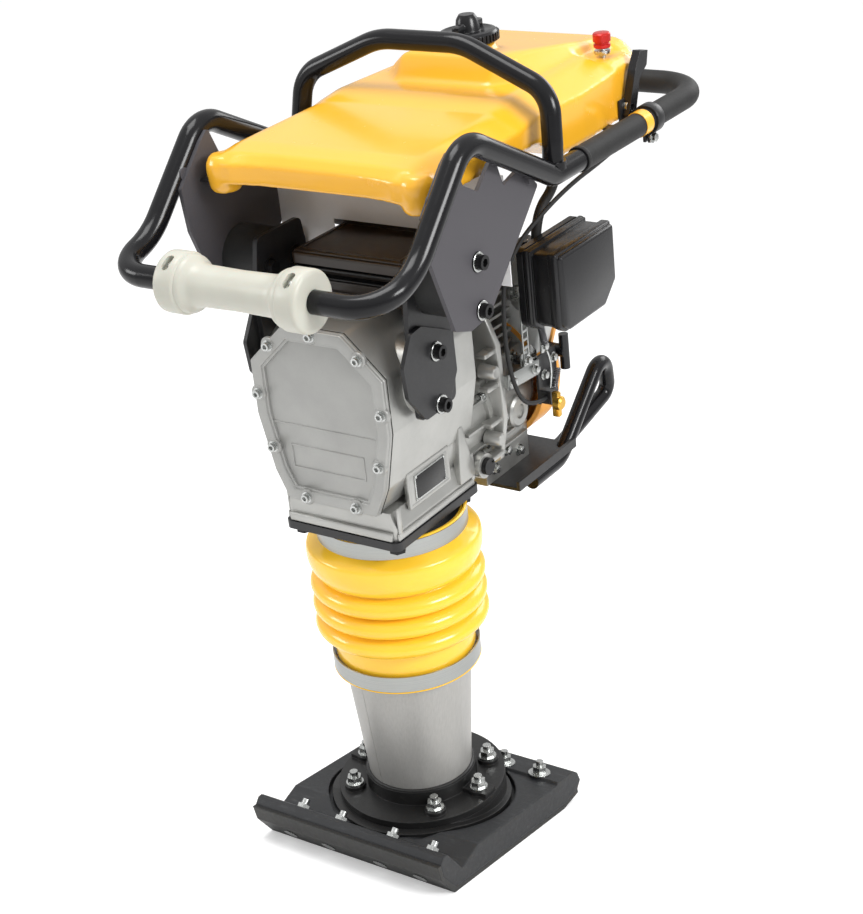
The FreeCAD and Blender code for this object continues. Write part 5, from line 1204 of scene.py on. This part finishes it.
def clamp_lever():
    """The throttle lever's split clamp round the rail, its pivot ear and the bolts below."""
    low, high = where("lever_bracket")
    rail_low, rail_high = where("loop_sleeve")
    rail = (rail_high.z + rail_low.z) / 2
    x = rail_high.x - 14.1
    y = (low.y + high.y) / 2
    shape = Shape().lathe([(14.3, y - 8), (17.2, y - 8), (17.8, y - 7), (17.8, y + 7), (17.2, y + 8),
                           (14.3, y + 8)], (x, 0, rail), "Y", 40)
    shape.box((low.x, y - 13, rail - 6), (low.x + 3.2, y + 13, rail + 22), 1.2)
    shape.box((low.x + 1, y - 8, rail - 4), (x - 15.5, y + 8, rail + 4), 1.2)
    shape.box((x - 5, y - 8, rail - 27), (x - 1.2, y + 8, rail - 15), 1.0)
    shape.box((x + 1.2, y - 8, rail - 27), (x + 5, y + 8, rail - 15), 1.0)
    shape.piece("lever_clamp", "black_sheet", "handle", "black_paint", ("lever_bracket",))
    bolts("clamp_bolts", "handle", [(x + 5, y - 3, rail - 21), (low.x + 16, y - 2, rail - 18)],
          [(1, 0, 0), (0, 0, -1)], 5.2, 4.6, 7.0, 1.2)
    Shape().lathe(oblong(0, low.x - 3, 6.5, low.x + 8), (0, y, rail + 12), "X", 28).piece(
        "lever_pivot", "zinc", "handle", "zinc")


def dress_handle():
    """Rubber sleeve ends, the yellow tag and the hose clip on the hand frame."""
    low, high = where("loop_sleeve")
    rail = (high.z + low.z) / 2
    x = high.x - 14.1
    shape = Shape()
    for side in SIDES:
        shape.lathe([(12.8, low.y - 1), (14.2, low.y - 1), (14.8, low.y), (14.8, low.y + 4),
                     (14.2, low.y + 5), (12.8, low.y + 5)], (side * x, 0, rail), "Y", 48)
    shape.piece("sleeve_ends", "black_rubber", "handle", "black_rubber")
    tag = where("lever_bracket")[0].y
    Shape().lathe(oblong(14.2, tag - 14, 14.9, tag + 2), (x, 0, rail), "Y", 48).piece(
        "rail_tag", "moulded_yellow", "handle", "tank_yellow")
    hose = where("fuel_hose")[1]
    clip = Shape().lathe(oblong(6.1, hose.z - 15, 7.6, hose.z - 9), (112, hose.y - 6, 0), sides=32)
    clip.box((109, hose.y + 1, hose.z - 14.5), (115, hose.y + 6, hose.z - 9.5), 0.8)
    clip.piece("hose_clip", "zinc", "handle", "zinc")


# ---------------------------------------------------------------- stage

def set_stage(options):
    """Pale floor, soft studio light and the camera."""
    scene = bpy.context.scene
    scene.view_settings.view_transform = "Standard"
    world = bpy.data.worlds.new("studio")
    scene.world = world
    world.use_nodes = True
    backdrop = world.node_tree.nodes["Background"]
    backdrop.inputs["Strength"].default_value = options.daylight
    sky = Tree(world.node_tree)
    way = sky.add("ShaderNodeTexCoord", output="Generated")
    level = sky.add("ShaderNodeVectorMath", {"operation": "DOT_PRODUCT"}, {0: way, 1: (0, 0, 1)},
                    output="Value")
    glow = sky.add("ShaderNodeValToRGB", {"stops": [(0.0, 0.55), (0.12, 0.60), (0.45, 0.85), (0.8, 1.0)]},
                   {"Fac": level})
    seen = sky.add("ShaderNodeLightPath", output="Is Camera Ray")
    sky.feed(backdrop, "Color", sky.add("ShaderNodeMix", {"data_type": "RGBA"},
                                        {0: seen, 6: glow, 7: (1.08, 1.08, 1.08, 1)}, output=2))
    floor_look = Finish("studio_floor", {SHINE: 0.1, "Emission Strength": 0.28})
    floor_look.paint(floor_look.noise(2, 2), (0.86, 0.86, 0.86), (0.88, 0.88, 0.88))
    floor_look.roughness(floor_look.noise(30, 2) * 0.1 + 0.7)
    floor_look.feed(floor_look.shader, "Emission Color",
                    floor_look.add("ShaderNodeLightPath", output="Is Camera Ray"))
    mesh = bpy.data.meshes.new("floor")
    reach = 40.0
    mesh.from_pydata([(x, y, 0) for x, y in oblong(-reach, -reach, reach, reach)], [], [(0, 1, 2, 3)])
    mesh.materials.append(floor_look.material)
    link("floor", mesh)
    target = Vector((0, 0, 0.5))
    for name, spot, size, power in (("top_softbox", (-0.3, -0.6, 2.9), 1.5, 34),
                                    ("left_softbox", (-2.4, -1.7, 1.5), 1.1, 20),
                                    ("right_softbox", (2.5, -0.3, 1.9), 1.1, 52),
                                    ("back_softbox", (0.4, 2.6, 2.1), 1.6, 20)):
        lamp = bpy.data.lights.new(name, "AREA")
        lamp.shape = "RECTANGLE"
        lamp.size = size
        lamp.size_y = size * 0.7
        lamp.energy = power
        holder = link(name, lamp)
        holder.location = spot
        holder.rotation_euler = (target - Vector(spot)).to_track_quat("-Z", "Y").to_euler()
    camera = bpy.data.cameras.new("camera")
    camera.sensor_width = 36
    camera.sensor_fit = "AUTO"
    camera.lens = options.lens
    view = link("camera", camera)
    view.location = (1.2266, -1.7898, 1.1389)
    view.rotation_euler = (math.radians(90) - options.elevation, 0, options.azimuth)
    scene.camera = view


def dress_cad_nodes():
    """Give every CAD node that stays in view its finish."""
    for look, names in CAD_FINISHES.items():
        for name in names:
            node = NODES[name]
            if node.material_slots:
                for slot in node.material_slots:
                    slot.material = finish(look)
            else:
                node.data.materials.append(finish(look))


# ---------------------------------------------------------------- settings, operators and panel

def colour(name, text, default):
    return bpy.props.FloatVectorProperty(name=name, description=text, default=default, size=3, min=0,
                                         max=1, subtype="COLOR")


def length(name, text, default):
    return bpy.props.FloatProperty(name=name, description=text, default=default, min=0, unit="LENGTH")


def angle(name, text, degrees):
    return bpy.props.FloatProperty(name=name, description=text, default=math.radians(degrees),
                                   subtype="ANGLE")


class RammerColours(bpy.types.PropertyGroup):
    tank: colour("Tank", "Colour of the moulded fuel tank", (0.86, 0.43, 0.022))
    bellows: colour("Bellows", "Colour of the bellows", (1.0, 0.58, 0.035))


class RammerTank(bpy.types.PropertyGroup):
    width: length("Width", "Overall width of the tank", 0.290)
    grain: length("Grain", "Size of the cells that close the tank's skin", 0.0026)
    softness: bpy.props.IntProperty(name="Softness", description="How far its edges are rounded",
                                    default=4, min=0, max=40)


class RammerBellows(bpy.types.PropertyGroup):
    pitch: length("Pitch", "Height of each even fold", 0.0262)
    depth: length("Depth", "How far a fold stands out from its crease", 0.020)


class RammerStage(bpy.types.PropertyGroup):
    lens: bpy.props.FloatProperty(name="Lens", description="Focal length in millimetres", default=76.0,
                                  min=10)
    azimuth: angle("Azimuth", "Turn of the view from the front", 34.12)
    elevation: angle("Elevation", "Height of the view above level", 17.107)
    daylight: bpy.props.FloatProperty(name="Daylight", description="Strength of the room's even light",
                                      default=0.92, min=0)


class RammerOperator:
    bl_options = {"REGISTER", "UNDO"}


class RAMMER_OT_cad_finishes(RammerOperator, bpy.types.Operator):
    """Paint the CAD nodes that stay in view"""
    bl_idname = "rammer.cad_finishes"
    bl_label = "Frame Finishes"

    def execute(self, context):
        dress_cad_nodes()
        return {"FINISHED"}


class RAMMER_OT_tank(RammerOperator, bpy.types.Operator):
    """Mould the fuel tank"""
    bl_idname = "rammer.tank"
    bl_label = "Fuel Tank"

    def execute(self, context):
        mould_tank(context.scene.rammer_tank)
        return {"FINISHED"}


class RAMMER_OT_tank_fittings(RammerOperator, bpy.types.Operator):
    """Turn the filler cap and the vent"""
    bl_idname = "rammer.tank_fittings"
    bl_label = "Cap and Vent"

    def execute(self, context):
        turn_cap()
        turn_vent()
        return {"FINISHED"}


class RAMMER_OT_lines(RammerOperator, bpy.types.Operator):
    """Run the throttle cable, the fuel hose and the starter rope"""
    bl_idname = "rammer.lines"
    bl_label = "Cable, Hose and Rope"

    def execute(self, context):
        run_line("throttle_wire", ("throttle_cable",), THROTTLE_ROUTE, 2.6)
        run_line("fuel_pipe", ("fuel_hose",), HOSE_ROUTE, 6.0)
        run_line("starter_rope", (), ROPE_ROUTE, 2.4, "rope")
        return {"FINISHED"}


class RAMMER_OT_bellows(RammerOperator, bpy.types.Operator):
    """Fold the bellows and finish the leg"""
    bl_idname = "rammer.bellows"
    bl_label = "Bellows and Leg"

    def execute(self, context):
        fold_bellows(context.scene.rammer_bellows)
        seam_leg()
        return {"FINISHED"}


class RAMMER_OT_roller(RammerOperator, bpy.types.Operator):
    """Turn the loading roller"""
    bl_idname = "rammer.roller"
    bl_label = "Roller"

    def execute(self, context):
        turn_roller()
        return {"FINISHED"}


class RAMMER_OT_crankcase(RammerOperator, bpy.types.Operator):
    """Cast the gear cover, the ribs and the bare plate"""
    bl_idname = "rammer.crankcase"
    bl_label = "Crankcase"

    def execute(self, context):
        cast_cover()
        trim_case()
        washers()
        return {"FINISHED"}


class RAMMER_OT_engine(RammerOperator, bpy.types.Operator):
    """Dress the engine, its air cleaner, muffler and starter"""
    bl_idname = "rammer.engine"
    bl_label = "Engine"

    def execute(self, context):
        for step in (rib_housing, bolt_engine, cast_block, flare_bell, strap_carburettor, cover_fan,
                     link_governor, fit_tap_and_lead):
            step()
        mould_cleaner()
        cut_shield()
        lid_intake()
        cover_muffler()
        dress_recoil()
        return {"FINISHED"}


class RAMMER_OT_handle(RammerOperator, bpy.types.Operator):
    """Dress the hand frame"""
    bl_idname = "rammer.handle"
    bl_label = "Hand Frame"

    def execute(self, context):
        clamp_lever()
        dress_handle()
        return {"FINISHED"}


class RAMMER_OT_stage(RammerOperator, bpy.types.Operator):
    """Set the floor, the lights and the camera"""
    bl_idname = "rammer.stage"
    bl_label = "Stage"

    def execute(self, context):
        set_stage(context.scene.rammer_stage)
        return {"FINISHED"}


SETTINGS = {"rammer_colours": RammerColours, "rammer_tank": RammerTank,
            "rammer_bellows": RammerBellows, "rammer_stage": RammerStage}
STEPS = (RAMMER_OT_stage, RAMMER_OT_lines, RAMMER_OT_cad_finishes, RAMMER_OT_tank, RAMMER_OT_tank_fittings,
         RAMMER_OT_bellows, RAMMER_OT_roller, RAMMER_OT_crankcase, RAMMER_OT_engine, RAMMER_OT_handle)


class RAMMER_PT_panel(bpy.types.Panel):
    """Lists the rammer's settings and the steps that build it"""
    bl_idname = "RAMMER_PT_panel"
    bl_label = "Tamping Rammer"
    bl_space_type = "VIEW_3D"
    bl_region_type = "UI"
    bl_category = "Rammer"

    def draw(self, context):
        for group in SETTINGS:
            settings = getattr(context.scene, group)
            box = self.layout.box()
            for name in settings.__annotations__:
                box.prop(settings, name)
        for step in STEPS:
            self.layout.operator(step.bl_idname)


CLASSES = (*SETTINGS.values(), *STEPS, RAMMER_PT_panel)


def register():
    for item in CLASSES:
        bpy.utils.register_class(item)
    for name, group in SETTINGS.items():
        setattr(bpy.types.Scene, name, bpy.props.PointerProperty(type=group))


def unregister():
    for name in SETTINGS:
        delattr(bpy.types.Scene, name)
    for item in reversed(CLASSES):
        bpy.utils.unregister_class(item)


def main():
    register()
    for step in STEPS:
        area, name = step.bl_idname.split(".")
        getattr(getattr(bpy.ops, area), name)()


if __name__ == "__main__":
    main()
